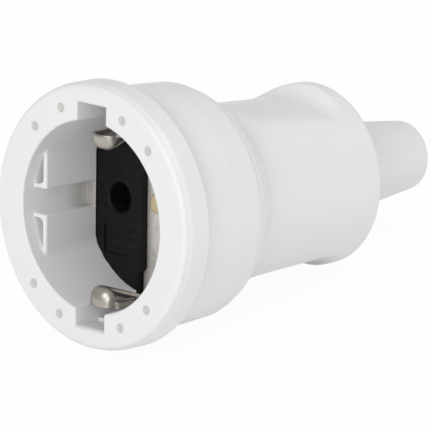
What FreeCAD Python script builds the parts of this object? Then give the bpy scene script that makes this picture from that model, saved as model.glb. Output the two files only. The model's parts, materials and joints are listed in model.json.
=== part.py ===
import FreeCAD, Part
import math
import os

# Inline earthed two-pole socket connector, in millimetres.
# Every piece is built on the connector's own axis: x runs from the front face back to the nose,
# y points left for someone facing the socket, z points up through the upper earth notch.
# At the end all pieces are laid down together, resting on the collar and on the handle's rear rim.

# Plug recess
RECESS_DIAMETER = 39.5
RECESS_FLOOR_DIAMETER = 37.8
RECESS_DEPTH = 17.5
MOUTH_CHAMFER = 0.5
RAIL_FLAT_SPACING = 32.1
RAIL_SETBACK = 2.65
RAIL_GROOVE = 5.3
RAIL_RIM = 0.9
RAIL_POCKET_DEPTH = 8.0

# Earth notches in the rim
NOTCH_WIDTH = 8.3
NOTCH_REACH = 23.0
NOTCH_STEP = 0.8
NOTCH_STEP_SETBACK = 6.7
NOTCH_LIP = 0.4
NOTCH_LIP_RUN = 0.8

# Collar and bell of the shroud
COLLAR_DIAMETER = 54.8
COLLAR_LENGTH = 7.0
COLLAR_FRONT_ROUND = 1.1
COLLAR_BAND_STEP = 0.3
COLLAR_BAND_LENGTH = 1.1
COLLAR_REAR_ROUND = 0.5
BELL_DIAMETER = 49.6
BELL_REAR_DIAMETER = 48.6
BELL_REAR_ROUND = 1.0
BELL_ROOT_ROUND = 0.8
BELL_STRAIGHT_SHARE = 0.6
BELL_WALL = 2.7
DIMPLE_CIRCLE = 46.1
DIMPLE_DIAMETER = 2.1
DIMPLE_DEPTH = 0.35
DIMPLE_ANGLES = (22.5, 45.0)

# Bayonet that locks the handle in the shroud
SPIGOT_LENGTH = 3.5
SPIGOT_WALL = 2.5
LUG_RISE = 0.7
LUG_LENGTH = 1.4
LUG_SETBACK = 1.0
LUG_ANGLE = 24.0
LOCK_TURN = 40.0
LOCK_PLAY = 1.0

# Handle
HANDLE_DIAMETER = 37.8
HANDLE_LENGTH = 39.9
HANDLE_WALL = 2.5
HANDLE_REAR_ROUND = 1.1
FLANGE_DIAMETER = 46.8
FLANGE_LENGTH = 1.4
FLANGE_ROUND = 0.45
FLARE_RUN = 2.2
FLARE_RADIUS = 6.0
GRIP_FLOOR = 13.5
GRIP_SETBACK = 10.8
GRIP_REAR_LAND = 3.1
GRIP_FRONT_ROUND = 4.2
GRIP_REAR_ROUND = 5.0

# Cable sleeve
NOSE_ROOT_DIAMETER = 19.8
NOSE_TIP_DIAMETER = 13.4
NOSE_LENGTH = 26.6
NOSE_ROUND = 2.4
CABLE_DIAMETER = 7.8
CABLE_MOUTH_ROUND = 0.4
SLEEVE_NECK = 17.2
SLEEVE_FLANGE_THICKNESS = 1.6
SLEEVE_FLANGE_RISE = 1.9

# Contact carrier
CARRIER_PLATE = 4.0
PIN_PITCH = 19.0
PIN_HOLE_DIAMETER = 6.2
PIN_HOLE_CHAMFER = 0.35
PIN_LENGTH = 19.0
PIN_DIAMETER = 4.8
CHANNEL_WIDTH = 6.6
CHANNEL_END_WIDTH = 8.5
CHANNEL_FLARE = 14.2
PANEL_WIDTH = 8.0
PANEL_HEIGHT = 5.6
PANEL_DEPTH = 0.3
PANEL_DROP = 6.3
PANEL_OFFSET = 9.86
CHAMBER_WALL = 2.0
TONGUE_THICKNESS = 1.8
TONGUE_WIDTH = 18.0

# Earth bracket
STRAP_THICKNESS = 0.8
STRAP_SINK = 1.67
STRAP_BEND = 1.6
ARM_NECK_WIDTH = 4.8
ARM_HEAD_WIDTH = 6.6
ARM_ROOT_INSET = 2.3
ARM_TIP_SETBACK = 2.2
ARM_CREST_SETBACK = 6.9
ARM_CURL = 2.6
ARM_CREST_ROUND = 3.2
ARM_SHOULDER_RUN = 1.65
ARM_TIP_ROUND = 3.1
UPPER_CREST = 13.9
LOWER_CREST = 15.4
LUG_TAB_SETBACK = 4.2
RIVET_DIAMETER = 3.0
RIVET_HEAD_DIAMETER = 4.2
RIVET_HEAD_HEIGHT = 0.4

# Pole contacts and terminals
CONTACT_SHEET = 0.7
CONTACT_WIDTH = 5.2
CONTACT_GRIP = 0.4
GRIP_ZONE = 6.0
LEAF_FLARE = 1.0
SPRING_SHEET = 0.4
RETAINER_THICKNESS = 2.0
TERMINAL_LENGTH = 6.5
TERMINAL_WALL = 1.6
WIRE_ROOM = 2.9
POLE_SCREW_DIAMETER = 3.0
EARTH_SCREW_DIAMETER = 3.5
SCREW_STICK_OUT = 0.8
SCREW_HEAD_SHARE = 1.75
SCREW_HEAD_HEIGHT = 1.8
SCREW_SLOT = 0.7

# Cord clamp
CLAMP_LENGTH = 6.5
CLAMP_SCREW_DIAMETER = 3.0
CLAMP_SCREW_SPACING = 16.0
CLAMP_BAR_HEIGHT = 6.4
CLAMP_BAR_MARGIN = 3.0
CLAMP_GAP = 3.5
NUT_SIZE = 5.5
NUT_THICKNESS = 2.2
NUT_DEPTH = 4.0

# Clearances
FIT = 0.2
SLIDE = 0.1
TINY = 1e-6

# Where the seam line of a round face lies, away from the planes of symmetry
SEAM_TURN = 11.0

# Stations along the axis, worked out from the sizes above
FLOOR_X = RECESS_DEPTH
STRAP_X = FLOOR_X + STRAP_SINK
CHANNEL_X = STRAP_X + STRAP_THICKNESS
PLATE_X = FLOOR_X + CARRIER_PLATE
SHROUD_X = PLATE_X + SPIGOT_LENGTH
WEB_X = FLOOR_X + PIN_LENGTH
TOWER_X = WEB_X + CONTACT_SHEET
RETAINER_X = TOWER_X + RETAINER_THICKNESS
TERMINAL_X = RETAINER_X + TERMINAL_LENGTH
HANDLE_X = SHROUD_X + HANDLE_LENGTH
REAR_WALL_X = HANDLE_X - HANDLE_WALL
SLEEVE_X = REAR_WALL_X - SLEEVE_FLANGE_THICKNESS
CLAMP_END_X = SLEEVE_X - CLAMP_GAP
CLAMP_X = CLAMP_END_X - CLAMP_LENGTH
NOSE_X = HANDLE_X + NOSE_LENGTH

# Radii and half sizes shared by pieces that meet
MOUTH_R = RECESS_DIAMETER / 2
COLLAR_R = COLLAR_DIAMETER / 2
BORE_R = BELL_REAR_DIAMETER / 2 - BELL_WALL
SPIGOT_R = BORE_R - FIT
ARM_ROOT = BORE_R - ARM_ROOT_INSET
HANDLE_R = HANDLE_DIAMETER / 2
ROOM_R = HANDLE_R - HANDLE_WALL
ROOM_FLAT = GRIP_FLOOR - HANDLE_WALL
POLE_Y = PIN_PITCH / 2
LEAF_Z = PIN_DIAMETER / 2 - CONTACT_GRIP / 2
LEAF_OUT_Z = LEAF_Z + CONTACT_SHEET
CHAMBER_Z = LEAF_OUT_Z + LEAF_FLARE
CHAMBER_Y = CONTACT_WIDTH / 2 + SPRING_SHEET + SLIDE
TOWER_Y = CHAMBER_Y + CHAMBER_WALL
TOWER_Z = CHAMBER_Z + CHAMBER_WALL
TAIL_Z = -WIRE_ROOM / 2
EARTH_TUNNEL_X = PLATE_X + TERMINAL_WALL
EARTH_TUNNEL_Z = RIVET_DIAMETER / 2 + RIVET_HEAD_HEIGHT + SLIDE
CABLE_R = CABLE_DIAMETER / 2

V = FreeCAD.Vector
ORIGIN = V(0, 0, 0)
AXIS = V(1, 0, 0)


def rounded_wire(corners, to_space):
    """Closed outline through (u, v, rounding) corners, with a tangent arc where rounding isn't zero."""
    stations = []
    for i, (u, v, radius) in enumerate(corners):
        here = V(u, v, 0)
        before = V(corners[i - 1][0], corners[i - 1][1], 0) - here
        following = corners[(i + 1) % len(corners)]
        after = V(following[0], following[1], 0) - here
        if radius == 0:
            stations.append((here, None, here))
            continue
        before.normalize()
        after.normalize()
        half = before.getAngle(after) / 2
        reach = radius / math.tan(half)
        inward = (before + after).normalize()
        middle = here + inward * (radius / math.sin(half) - radius)
        stations.append((here + before * reach, middle, here + after * reach))
    edges = []
    for i, (start, middle, end) in enumerate(stations):
        if middle is not None:
            edges.append(Part.Arc(to_space(start), to_space(middle), to_space(end)).toShape())
        next_start = stations[(i + 1) % len(stations)][0]
        if end.distanceToPoint(next_start) > TINY:
            edges.append(Part.LineSegment(to_space(end), to_space(next_start)).toShape())
    return Part.Wire(edges)


def turned(corners):
    """Solid of revolution about the axis, from an outline of (x, radius, rounding) corners."""
    face = Part.Face(rounded_wire(corners, lambda p: V(p.x, 0, p.y)))
    solid = face.revolve(ORIGIN, AXIS, 360)
    solid.rotate(ORIGIN, AXIS, SEAM_TURN)
    return solid


def along_x(corners, start, end):
    """Prism between two stations of the axis, from an outline of (y, z, rounding) corners."""
    face = Part.Face(rounded_wire(corners, lambda p: V(start, p.x, p.y)))
    return face.extrude(V(end - start, 0, 0))


def along_y(corners, start, end):
    """Prism across the connector, from an outline of (x, z, rounding) corners."""
    face = Part.Face(rounded_wire(corners, lambda p: V(p.x, start, p.y)))
    return face.extrude(V(0, end - start, 0))


def along_z(corners, start, end):
    """Upright prism, from an outline of (x, y, rounding) corners."""
    face = Part.Face(rounded_wire(corners, lambda p: V(p.x, p.y, start)))
    return face.extrude(V(0, 0, end - start))


def block(xs, ys, zs):
    """Box between pairs of limits, given in either order."""
    low = V(min(xs), min(ys), min(zs))
    return Part.makeBox(max(xs) - min(xs), max(ys) - min(ys), max(zs) - min(zs), low)


def rod(radius, start, end):
    """Round rod from one point to another."""
    solid = Part.makeCylinder(radius, (end - start).Length, start, end - start)
    solid.rotate(start, end - start, SEAM_TURN)
    return solid


def disc(radius, start, end):
    """Round plate on the axis between two stations."""
    return rod(radius, V(start, 0, 0), V(end, 0, 0))


def ring_sector(stations, radii, angles):
    """Part of a ring about the axis; an angle of zero points along y."""
    (x0, x1), (r0, r1), (a0, a1) = stations, radii, angles
    corners = [(x0, r0, 0), (x1, r0, 0), (x1, r1, 0), (x0, r1, 0)]
    face = Part.Face(rounded_wire(corners, lambda p: V(p.x, p.y, 0)))
    sector = face.revolve(ORIGIN, AXIS, a1 - a0)
    sector.rotate(ORIGIN, AXIS, a0)
    return sector


def merged(first, others):
    """One solid from pieces that share faces or volume."""
    return first.fuse(others).removeSplitter()


def flipped(shape):
    """The same shape turned half a turn about the axis."""
    turned_shape = shape.copy()
    turned_shape.rotate(ORIGIN, AXIS, 180)
    return turned_shape


def handle_room(clearance):
    """Free space inside the handle, less a clearance all round."""
    radius = ROOM_R - clearance
    flat = ROOM_FLAT - clearance
    return disc(radius, PLATE_X, REAR_WALL_X - clearance).common(
        block((PLATE_X, REAR_WALL_X), (-radius, radius), (-flat, flat)))


def slotted_screw(diameter, tip, seat):
    """Cheese-head screw from its tip up to its head's seat, with a driver slot along the axis."""
    head_radius = diameter * SCREW_HEAD_SHARE / 2
    top = seat + V(0, 0, SCREW_HEAD_HEIGHT)
    screw = merged(rod(diameter / 2, tip, seat), [rod(head_radius, seat, top)])
    slot = block((top.x - head_radius, top.x + head_radius), (top.y - SCREW_SLOT / 2, top.y + SCREW_SLOT / 2),
                 (top.z - SCREW_HEAD_HEIGHT / 2, top.z))
    return screw.cut(slot)


def shroud_rails():
    """Two guide rails on each side of the recess, still without their hollow front ends."""
    flat = RAIL_FLAT_SPACING / 2
    rail = block((RAIL_SETBACK, FLOOR_X), (flat, MOUTH_R), (RAIL_GROOVE / 2, MOUTH_R))
    rail = rail.common(disc(MOUTH_R, 0, FLOOR_X))
    lower = rail.mirror(ORIGIN, V(0, 0, 1))
    return [rail, lower, flipped(rail), flipped(lower)]


def rail_pockets():
    """Hollows that leave a rim at the front end of each rail."""
    flat = RAIL_FLAT_SPACING / 2 + RAIL_RIM
    pocket = block((RAIL_SETBACK, RAIL_SETBACK + RAIL_POCKET_DEPTH), (flat, MOUTH_R),
                   (RAIL_GROOVE / 2 + RAIL_RIM, MOUTH_R))
    draft = (RECESS_DIAMETER - RECESS_FLOOR_DIAMETER) / 2 / RECESS_DEPTH
    pocket = pocket.common(disc(MOUTH_R - draft * RAIL_SETBACK, 0, FLOOR_X))
    lower = pocket.mirror(ORIGIN, V(0, 0, 1))
    return [pocket, lower, flipped(pocket), flipped(lower)]


def shroud_notch():
    """Upper earth notch: a lip at the face, a deep front stretch, then a step."""
    half = NOTCH_WIDTH / 2
    shallow = NOTCH_REACH - NOTCH_STEP
    inner = RAIL_FLAT_SPACING / 2
    side = [
        (0, inner, 0), (FLOOR_X, inner, 0), (FLOOR_X, shallow, 0), (NOTCH_STEP_SETBACK, shallow, 0),
        (NOTCH_STEP_SETBACK, NOTCH_REACH, 0), (NOTCH_LIP_RUN, NOTCH_REACH, 0), (0, NOTCH_REACH + NOTCH_LIP, 0),
    ]
    return along_y(side, -half, half)


def face_dimples():
    """Shallow round dents in the front face, four pairs in mirror image."""
    sphere_radius = ((DIMPLE_DIAMETER / 2) ** 2 + DIMPLE_DEPTH ** 2) / (2 * DIMPLE_DEPTH)
    dents = []
    for base in (0, 180):
        for angle in DIMPLE_ANGLES + tuple(-a for a in DIMPLE_ANGLES):
            turn = math.radians(base + angle)
            centre = V(DIMPLE_DEPTH - sphere_radius, math.sin(turn) * DIMPLE_CIRCLE / 2,
                       math.cos(turn) * DIMPLE_CIRCLE / 2)
            dents.append(Part.makeSphere(sphere_radius, centre))
    return dents


def bayonet_slots():
    """Two L-shaped slots in the shroud's rear bore: a way in from behind, then a turn to lock."""
    radii = (BORE_R - BELL_WALL / 2, SPIGOT_R + LUG_RISE + FIT)
    front = PLATE_X + LUG_SETBACK - SLIDE
    back = PLATE_X + LUG_SETBACK + LUG_LENGTH + SLIDE
    half = LUG_ANGLE / 2 + LOCK_PLAY
    slots = []
    for base in (0, 180):
        slots.append(ring_sector((front, back), radii, (base - half, base + LOCK_TURN + half)))
        slots.append(ring_sector((front, SHROUD_X), radii, (base + LOCK_TURN - half, base + LOCK_TURN + half)))
    return slots


def front_shroud():
    """White front moulding: collar, bell, plug recess with rails, earth notches and dimples."""
    band_r = COLLAR_R - COLLAR_BAND_STEP
    bell_r = BELL_DIAMETER / 2
    bell_taper_x = COLLAR_LENGTH + BELL_STRAIGHT_SHARE * (SHROUD_X - COLLAR_LENGTH)
    shell = turned([
        (0, MOUTH_R + MOUTH_CHAMFER, 0),
        (0, band_r, COLLAR_FRONT_ROUND),
        (COLLAR_FRONT_ROUND, band_r, 0),
        (COLLAR_FRONT_ROUND + COLLAR_BAND_LENGTH, COLLAR_R, 0),
        (COLLAR_LENGTH, COLLAR_R, COLLAR_REAR_ROUND),
        (COLLAR_LENGTH, bell_r, BELL_ROOT_ROUND),
        (bell_taper_x, bell_r, 0),
        (SHROUD_X, BELL_REAR_DIAMETER / 2, BELL_REAR_ROUND),
        (SHROUD_X, BORE_R, 0),
        (FLOOR_X, BORE_R, 0),
        (FLOOR_X, RECESS_FLOOR_DIAMETER / 2, 0),
        (MOUTH_CHAMFER, MOUTH_R, 0),
    ])
    notch = shroud_notch()
    shell = merged(shell, shroud_rails())
    return shell.cut([notch, flipped(notch)] + rail_pockets() + face_dimples() + bayonet_slots())


def handle():
    """White hollow grip: spigot with bayonet lugs, flared flange, and a finger flat above and below."""
    spigot_in = SPIGOT_R - SPIGOT_WALL
    flange_r = FLANGE_DIAMETER / 2
    flange_x = SHROUD_X + FLANGE_LENGTH
    funnel_x = flange_x + HANDLE_WALL
    shell = turned([
        (PLATE_X, SPIGOT_R, 0),
        (SHROUD_X, SPIGOT_R, 0),
        (SHROUD_X, flange_r, 0),
        (flange_x, flange_r, FLANGE_ROUND),
        (flange_x + FLARE_RUN, HANDLE_R, FLARE_RADIUS),
        (HANDLE_X, HANDLE_R, HANDLE_REAR_ROUND),
        (HANDLE_X, SLEEVE_NECK / 2 + SLIDE, 0),
        (REAR_WALL_X, SLEEVE_NECK / 2 + SLIDE, 0),
        (REAR_WALL_X, ROOM_R, 0),
        (funnel_x + FLARE_RUN, ROOM_R, 0),
        (flange_x, spigot_in, 0),
        (PLATE_X, spigot_in, 0),
    ])
    lug = ring_sector((PLATE_X + LUG_SETBACK, PLATE_X + LUG_SETBACK + LUG_LENGTH),
                      (SPIGOT_R - SPIGOT_WALL / 2, SPIGOT_R + LUG_RISE), (-LUG_ANGLE / 2, LUG_ANGLE / 2))
    pad_x = SHROUD_X + GRIP_SETBACK - HANDLE_WALL
    pad = disc(ROOM_R + HANDLE_WALL / 2, pad_x, REAR_WALL_X).common(
        block((pad_x, REAR_WALL_X), (-HANDLE_R, HANDLE_R), (ROOM_FLAT, HANDLE_R)))
    grip_front = SHROUD_X + GRIP_SETBACK
    grip_back = HANDLE_X - GRIP_REAR_LAND
    grip = along_y([
        (grip_front, GRIP_FLOOR, GRIP_FRONT_ROUND),
        (grip_back, GRIP_FLOOR, GRIP_REAR_ROUND),
        (grip_back, HANDLE_DIAMETER, 0),
        (grip_front, HANDLE_DIAMETER, 0),
    ], -HANDLE_R, HANDLE_R)
    body = merged(shell, [lug, flipped(lug), pad, flipped(pad)])
    return body.cut([grip, flipped(grip)])


def cable_sleeve():
    """White tapered nose, held by its neck in the handle's rear wall."""
    neck_r = SLEEVE_NECK / 2
    lip = NOSE_TIP_DIAMETER / 2 - CABLE_R - CABLE_MOUTH_ROUND
    return turned([
        (SLEEVE_X, CABLE_R, 0),
        (SLEEVE_X, neck_r + SLEEVE_FLANGE_RISE, 0),
        (REAR_WALL_X, neck_r + SLEEVE_FLANGE_RISE, 0),
        (REAR_WALL_X, neck_r, 0),
        (HANDLE_X, neck_r, 0),
        (HANDLE_X, NOSE_ROOT_DIAMETER / 2, 0),
        (NOSE_X, NOSE_TIP_DIAMETER / 2, min(NOSE_ROUND, lip)),
        (NOSE_X, CABLE_R, CABLE_MOUTH_ROUND),
    ])


def tower(side):
    """Outer form of one contact chamber on the carrier's back."""
    y = side * POLE_Y
    return block((FLOOR_X, TOWER_X), (y - TOWER_Y, y + TOWER_Y), (-TOWER_Z, TOWER_Z))


def chamber_cuts(side):
    """Pin entry with its chamfer, and the contact chamber behind it, for one pole."""
    y = side * POLE_Y
    radius = PIN_HOLE_DIAMETER / 2
    entry = disc(radius, FLOOR_X, PLATE_X)
    entry.translate(V(0, y, 0))
    mouth = Part.makeCone(radius + PIN_HOLE_CHAMFER, radius, PIN_HOLE_CHAMFER, V(FLOOR_X, y, 0), AXIS)
    room = block((PLATE_X, TOWER_X), (y - CHAMBER_Y, y + CHAMBER_Y), (-CHAMBER_Z, CHAMBER_Z))
    return [entry, mouth, room]


def earth_channel():
    """Upright channel across the carrier's front, wider at both ends."""
    radius = SPIGOT_R
    half = CHANNEL_WIDTH / 2
    end_half = CHANNEL_END_WIDTH / 2
    run = end_half - half
    outline = [
        (-end_half, -radius, 0), (end_half, -radius, 0), (end_half, -CHANNEL_FLARE - run, 0),
        (half, -CHANNEL_FLARE, 0), (half, CHANNEL_FLARE, 0), (end_half, CHANNEL_FLARE + run, 0),
        (end_half, radius, 0), (-end_half, radius, 0), (-end_half, CHANNEL_FLARE + run, 0),
        (-half, CHANNEL_FLARE, 0), (-half, -CHANNEL_FLARE, 0), (-end_half, -CHANNEL_FLARE - run, 0),
    ]
    return along_x(outline, FLOOR_X, CHANNEL_X)


def clamp_trough(start, end):
    """Round space for the cable through the clamp."""
    return disc(CABLE_R, start, end)


def clamp_screw_sites():
    """The two places of the clamp screws, level with the cable's axis."""
    x = (CLAMP_X + CLAMP_END_X) / 2
    return [V(x, side * CLAMP_SCREW_SPACING / 2, 0) for side in (1, -1)]


def nut_block(site, clearance):
    """Square nut, or its slot when a clearance is given."""
    half = NUT_SIZE / 2 + clearance
    top = -NUT_DEPTH + clearance
    return block((site.x - half, site.x + half), (site.y - half, site.y + half),
                 (top, -NUT_DEPTH - NUT_THICKNESS - clearance))


def contact_carrier():
    """Black insert: the recess floor in front, contact chambers behind, and a tongue for the cord clamp."""
    low = -ROOM_FLAT
    bar_half = CLAMP_SCREW_SPACING / 2 + CLAMP_BAR_MARGIN
    rear = [
        tower(1), tower(-1),
        block((FLOOR_X, TOWER_X), (-TONGUE_WIDTH / 2, TONGUE_WIDTH / 2), (low, -TOWER_Z)),
        block((FLOOR_X, CLAMP_END_X), (-TONGUE_WIDTH / 2, TONGUE_WIDTH / 2), (low, low + TONGUE_THICKNESS)),
        block((CLAMP_X, CLAMP_END_X), (-bar_half, bar_half), (low, 0)),
    ]
    room = handle_room(FIT)
    carrier = merged(disc(SPIGOT_R, FLOOR_X, PLATE_X), [piece.common(room) for piece in rear])
    cuts = [earth_channel(), clamp_trough(CLAMP_X, CLAMP_END_X),
            disc(RIVET_DIAMETER / 2 + SLIDE, FLOOR_X, PLATE_X)]
    cuts += chamber_cuts(1) + chamber_cuts(-1)
    panel_y = (PANEL_OFFSET - PANEL_WIDTH / 2, PANEL_OFFSET + PANEL_WIDTH / 2)
    cuts.append(block((FLOOR_X, FLOOR_X + PANEL_DEPTH), panel_y, (-PANEL_DROP, -PANEL_DROP - PANEL_HEIGHT)))
    for site in clamp_screw_sites():
        cuts.append(rod(CLAMP_SCREW_DIAMETER / 2 + SLIDE, site + V(0, 0, low), site))
        slot = nut_block(site, SLIDE)
        outward = math.copysign(bar_half, site.y)
        reach = block((site.x - NUT_SIZE / 2 - SLIDE, site.x + NUT_SIZE / 2 + SLIDE), (site.y, outward),
                      (-NUT_DEPTH + SLIDE, -NUT_DEPTH - NUT_THICKNESS - SLIDE))
        cuts.append(slot.fuse(reach))
    return carrier.cut(cuts)


def earth_arm(crest):
    """Upper spring arm of the earth bracket, with the tab that flanks it on each side."""
    sheet = STRAP_THICKNESS
    root = ARM_ROOT
    tip = crest + ARM_CURL
    slope = math.atan2(root - crest, STRAP_X - ARM_CREST_SETBACK)
    curl = math.atan2(tip - crest, ARM_CREST_SETBACK - ARM_TIP_SETBACK)
    lift = sheet / math.cos(slope)
    crest_lift = sheet / math.cos((slope + curl) / 2)
    profile = [
        (STRAP_X, 0, 0),
        (STRAP_X, root, STRAP_BEND),
        (ARM_CREST_SETBACK, crest, ARM_CREST_ROUND),
        (ARM_TIP_SETBACK, tip, 0),
        (ARM_TIP_SETBACK + sheet * math.sin(curl), tip + sheet * math.cos(curl), 0),
        (ARM_CREST_SETBACK, crest + crest_lift, ARM_CREST_ROUND + sheet),
        (CHANNEL_X, root + lift, STRAP_BEND + sheet),
        (CHANNEL_X, 0, 0),
    ]
    neck = ARM_NECK_WIDTH / 2
    head = ARM_HEAD_WIDTH / 2
    shoulder = ARM_CREST_SETBACK + ARM_SHOULDER_RUN
    step = head - neck
    finger = along_z([
        (CHANNEL_X, neck, 0), (shoulder + step, neck, 0), (shoulder, head, step),
        (ARM_TIP_SETBACK, head, ARM_TIP_ROUND), (ARM_TIP_SETBACK, -head, ARM_TIP_ROUND),
        (shoulder, -head, step), (shoulder + step, -neck, 0), (CHANNEL_X, -neck, 0),
    ], 0, NOTCH_REACH)
    arm = along_y(profile, -head, head).common(finger)
    tab_in = neck + sheet / 2
    tab_out = NOTCH_WIDTH / 2 - FIT
    tabs = [block((LUG_TAB_SETBACK, CHANNEL_X), (side * tab_in, side * tab_out), (root, root + sheet))
            for side in (1, -1)]
    foot = block((STRAP_X, CHANNEL_X), (-tab_out, tab_out), (root - STRAP_BEND, root + sheet))
    return merged(arm, tabs + [foot])


def earth_bracket():
    """Plated strap in the carrier's channel, with a spring arm into each notch."""
    half = CHANNEL_WIDTH / 2 - SLIDE
    strap = block((STRAP_X, CHANNEL_X), (-half, half), (-CHANNEL_FLARE, CHANNEL_FLARE))
    end_half = NOTCH_WIDTH / 2 - FIT
    run = end_half - half
    ends = along_x([
        (-half, CHANNEL_FLARE, 0), (half, CHANNEL_FLARE, 0), (end_half, CHANNEL_FLARE + run, 0),
        (end_half, ARM_ROOT - STRAP_BEND, 0), (-end_half, ARM_ROOT - STRAP_BEND, 0),
        (-end_half, CHANNEL_FLARE + run, 0),
    ], STRAP_X, CHANNEL_X)
    bracket = merged(strap, [ends, flipped(ends), earth_arm(UPPER_CREST), flipped(earth_arm(LOWER_CREST))])
    return bracket.cut(disc(RIVET_DIAMETER / 2 + SLIDE, STRAP_X, CHANNEL_X))


def earth_rivet():
    """Brass rivet that holds the strap and the earth terminal on the carrier."""
    shank = RIVET_DIAMETER / 2
    head = RIVET_HEAD_DIAMETER / 2
    return turned([
        (STRAP_X - RIVET_HEAD_HEIGHT, 0, 0),
        (STRAP_X - RIVET_HEAD_HEIGHT, head, RIVET_HEAD_HEIGHT / 2),
        (STRAP_X, head, 0),
        (STRAP_X, shank, 0),
        (EARTH_TUNNEL_X, shank, 0),
        (EARTH_TUNNEL_X, shank + RIVET_HEAD_HEIGHT, 0),
        (EARTH_TUNNEL_X + RIVET_HEAD_HEIGHT, shank + RIVET_HEAD_HEIGHT, 0),
        (EARTH_TUNNEL_X + RIVET_HEAD_HEIGHT, 0, 0),
    ])


def pole_contact(side):
    """Sprung socket for one pin: two leaves, a web behind them, and a tail to the terminal."""
    y = side * POLE_Y
    left = y - CONTACT_WIDTH / 2
    right = y + CONTACT_WIDTH / 2
    grip_x = PLATE_X + LEAF_FLARE + CONTACT_SHEET
    flare_z = LEAF_FLARE - SLIDE
    leaf = along_y([
        (PLATE_X + SLIDE, LEAF_Z + flare_z, 0),
        (grip_x, LEAF_Z, 0),
        (TOWER_X, LEAF_Z, 0),
        (TOWER_X, LEAF_OUT_Z, 0),
        (grip_x, LEAF_OUT_Z, 0),
        (PLATE_X + SLIDE, LEAF_OUT_Z + flare_z, 0),
    ], left, right)
    web = block((WEB_X, TOWER_X), (left, right), (-LEAF_OUT_Z, LEAF_OUT_Z))
    tail = block((WEB_X, TERMINAL_X), (left, right), (TAIL_Z - CONTACT_SHEET, TAIL_Z))
    return merged(leaf, [leaf.mirror(ORIGIN, V(0, 0, 1)), web, tail])


def contact_spring(side):
    """Steel clip that presses the leaves of one pole contact together."""
    y = side * POLE_Y
    edge = y + side * CONTACT_WIDTH / 2
    far = y - side * CONTACT_WIDTH / 2
    back = edge + side * SPRING_SHEET
    grip_x = PLATE_X + LEAF_FLARE + CONTACT_SHEET
    xs = (grip_x + CONTACT_SHEET, grip_x + CONTACT_SHEET + GRIP_ZONE)
    outer = block(xs, (far, back), (-LEAF_OUT_Z - SPRING_SHEET, LEAF_OUT_Z + SPRING_SHEET))
    return outer.cut(block(xs, (far, edge), (-LEAF_OUT_Z, LEAF_OUT_Z)))


def contact_retainer():
    """Black plate behind the chambers, trapped between the contacts' webs and the terminal blocks."""
    wide = POLE_Y + TOWER_Y
    plate = along_x([
        (-wide, -TOWER_Z, CHAMBER_WALL), (wide, -TOWER_Z, CHAMBER_WALL),
        (wide, TOWER_Z, CHAMBER_WALL), (-wide, TOWER_Z, CHAMBER_WALL),
    ], TOWER_X, RETAINER_X)
    window = POLE_Y - TOWER_Y
    cuts = [block((TOWER_X, RETAINER_X), (-window, window), (-CHAMBER_Z, TOWER_Z))]
    half = CONTACT_WIDTH / 2 + SLIDE
    for side in (1, -1):
        y = side * POLE_Y
        cuts.append(block((TOWER_X, RETAINER_X), (y - half, y + half),
                          (TAIL_Z - CONTACT_SHEET - SLIDE, TAIL_Z + SLIDE)))
    return plate.common(handle_room(FIT)).cut(cuts)


def pole_screw_site(side):
    """Point on a pole terminal's top where its screw goes in."""
    return V((RETAINER_X + TERMINAL_X) / 2, side * POLE_Y, WIRE_ROOM / 2 + TERMINAL_WALL)


def pole_terminal(side):
    """Brass terminal block of one pole, with a tunnel for the contact's tail and the wire."""
    y = side * POLE_Y
    half = CONTACT_WIDTH / 2 + SLIDE
    low = TAIL_Z - CONTACT_SHEET - SLIDE
    high = WIRE_ROOM / 2
    wall = TERMINAL_WALL
    xs = (RETAINER_X, TERMINAL_X)
    body = block(xs, (y - half - wall, y + half + wall), (low - wall, high + wall))
    tunnel = block(xs, (y - half, y + half), (low, high))
    site = pole_screw_site(side)
    hole = rod(POLE_SCREW_DIAMETER / 2 + SLIDE / 2, site - V(0, 0, wall), site)
    return body.common(handle_room(FIT)).cut([tunnel, hole])


def earth_screw_site():
    """Point on the earth terminal's top where its screw goes in."""
    return V(EARTH_TUNNEL_X + TERMINAL_LENGTH / 2, 0, EARTH_TUNNEL_Z + TERMINAL_WALL)


def earth_terminal():
    """Brass block for the earth wire between the contact towers, closed in front where the rivet holds it."""
    half = POLE_Y - TOWER_Y - FIT
    inner = half - TERMINAL_WALL
    tall = EARTH_TUNNEL_Z + TERMINAL_WALL
    end_x = EARTH_TUNNEL_X + TERMINAL_LENGTH
    body = block((PLATE_X, end_x), (-half, half), (-tall, tall))
    tunnel = block((EARTH_TUNNEL_X, end_x), (-inner, inner), (-EARTH_TUNNEL_Z, EARTH_TUNNEL_Z))
    site = earth_screw_site()
    hole = rod(EARTH_SCREW_DIAMETER / 2 + SLIDE / 2, site - V(0, 0, TERMINAL_WALL), site)
    return body.cut([tunnel, hole, disc(RIVET_DIAMETER / 2 + SLIDE, PLATE_X, EARTH_TUNNEL_X)])


def terminal_screw(diameter, site):
    """Terminal screw, turned in as far as the tunnel's roof and a little proud of the block."""
    return slotted_screw(diameter, site - V(0, 0, TERMINAL_WALL), site + V(0, 0, SCREW_STICK_OUT))


def pole_terminal_screws():
    """The two screws of the pole terminals."""
    return Part.Compound([terminal_screw(POLE_SCREW_DIAMETER, pole_screw_site(side)) for side in (1, -1)])


def earth_terminal_screw():
    """The screw of the earth terminal."""
    return terminal_screw(EARTH_SCREW_DIAMETER, earth_screw_site())


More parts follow.
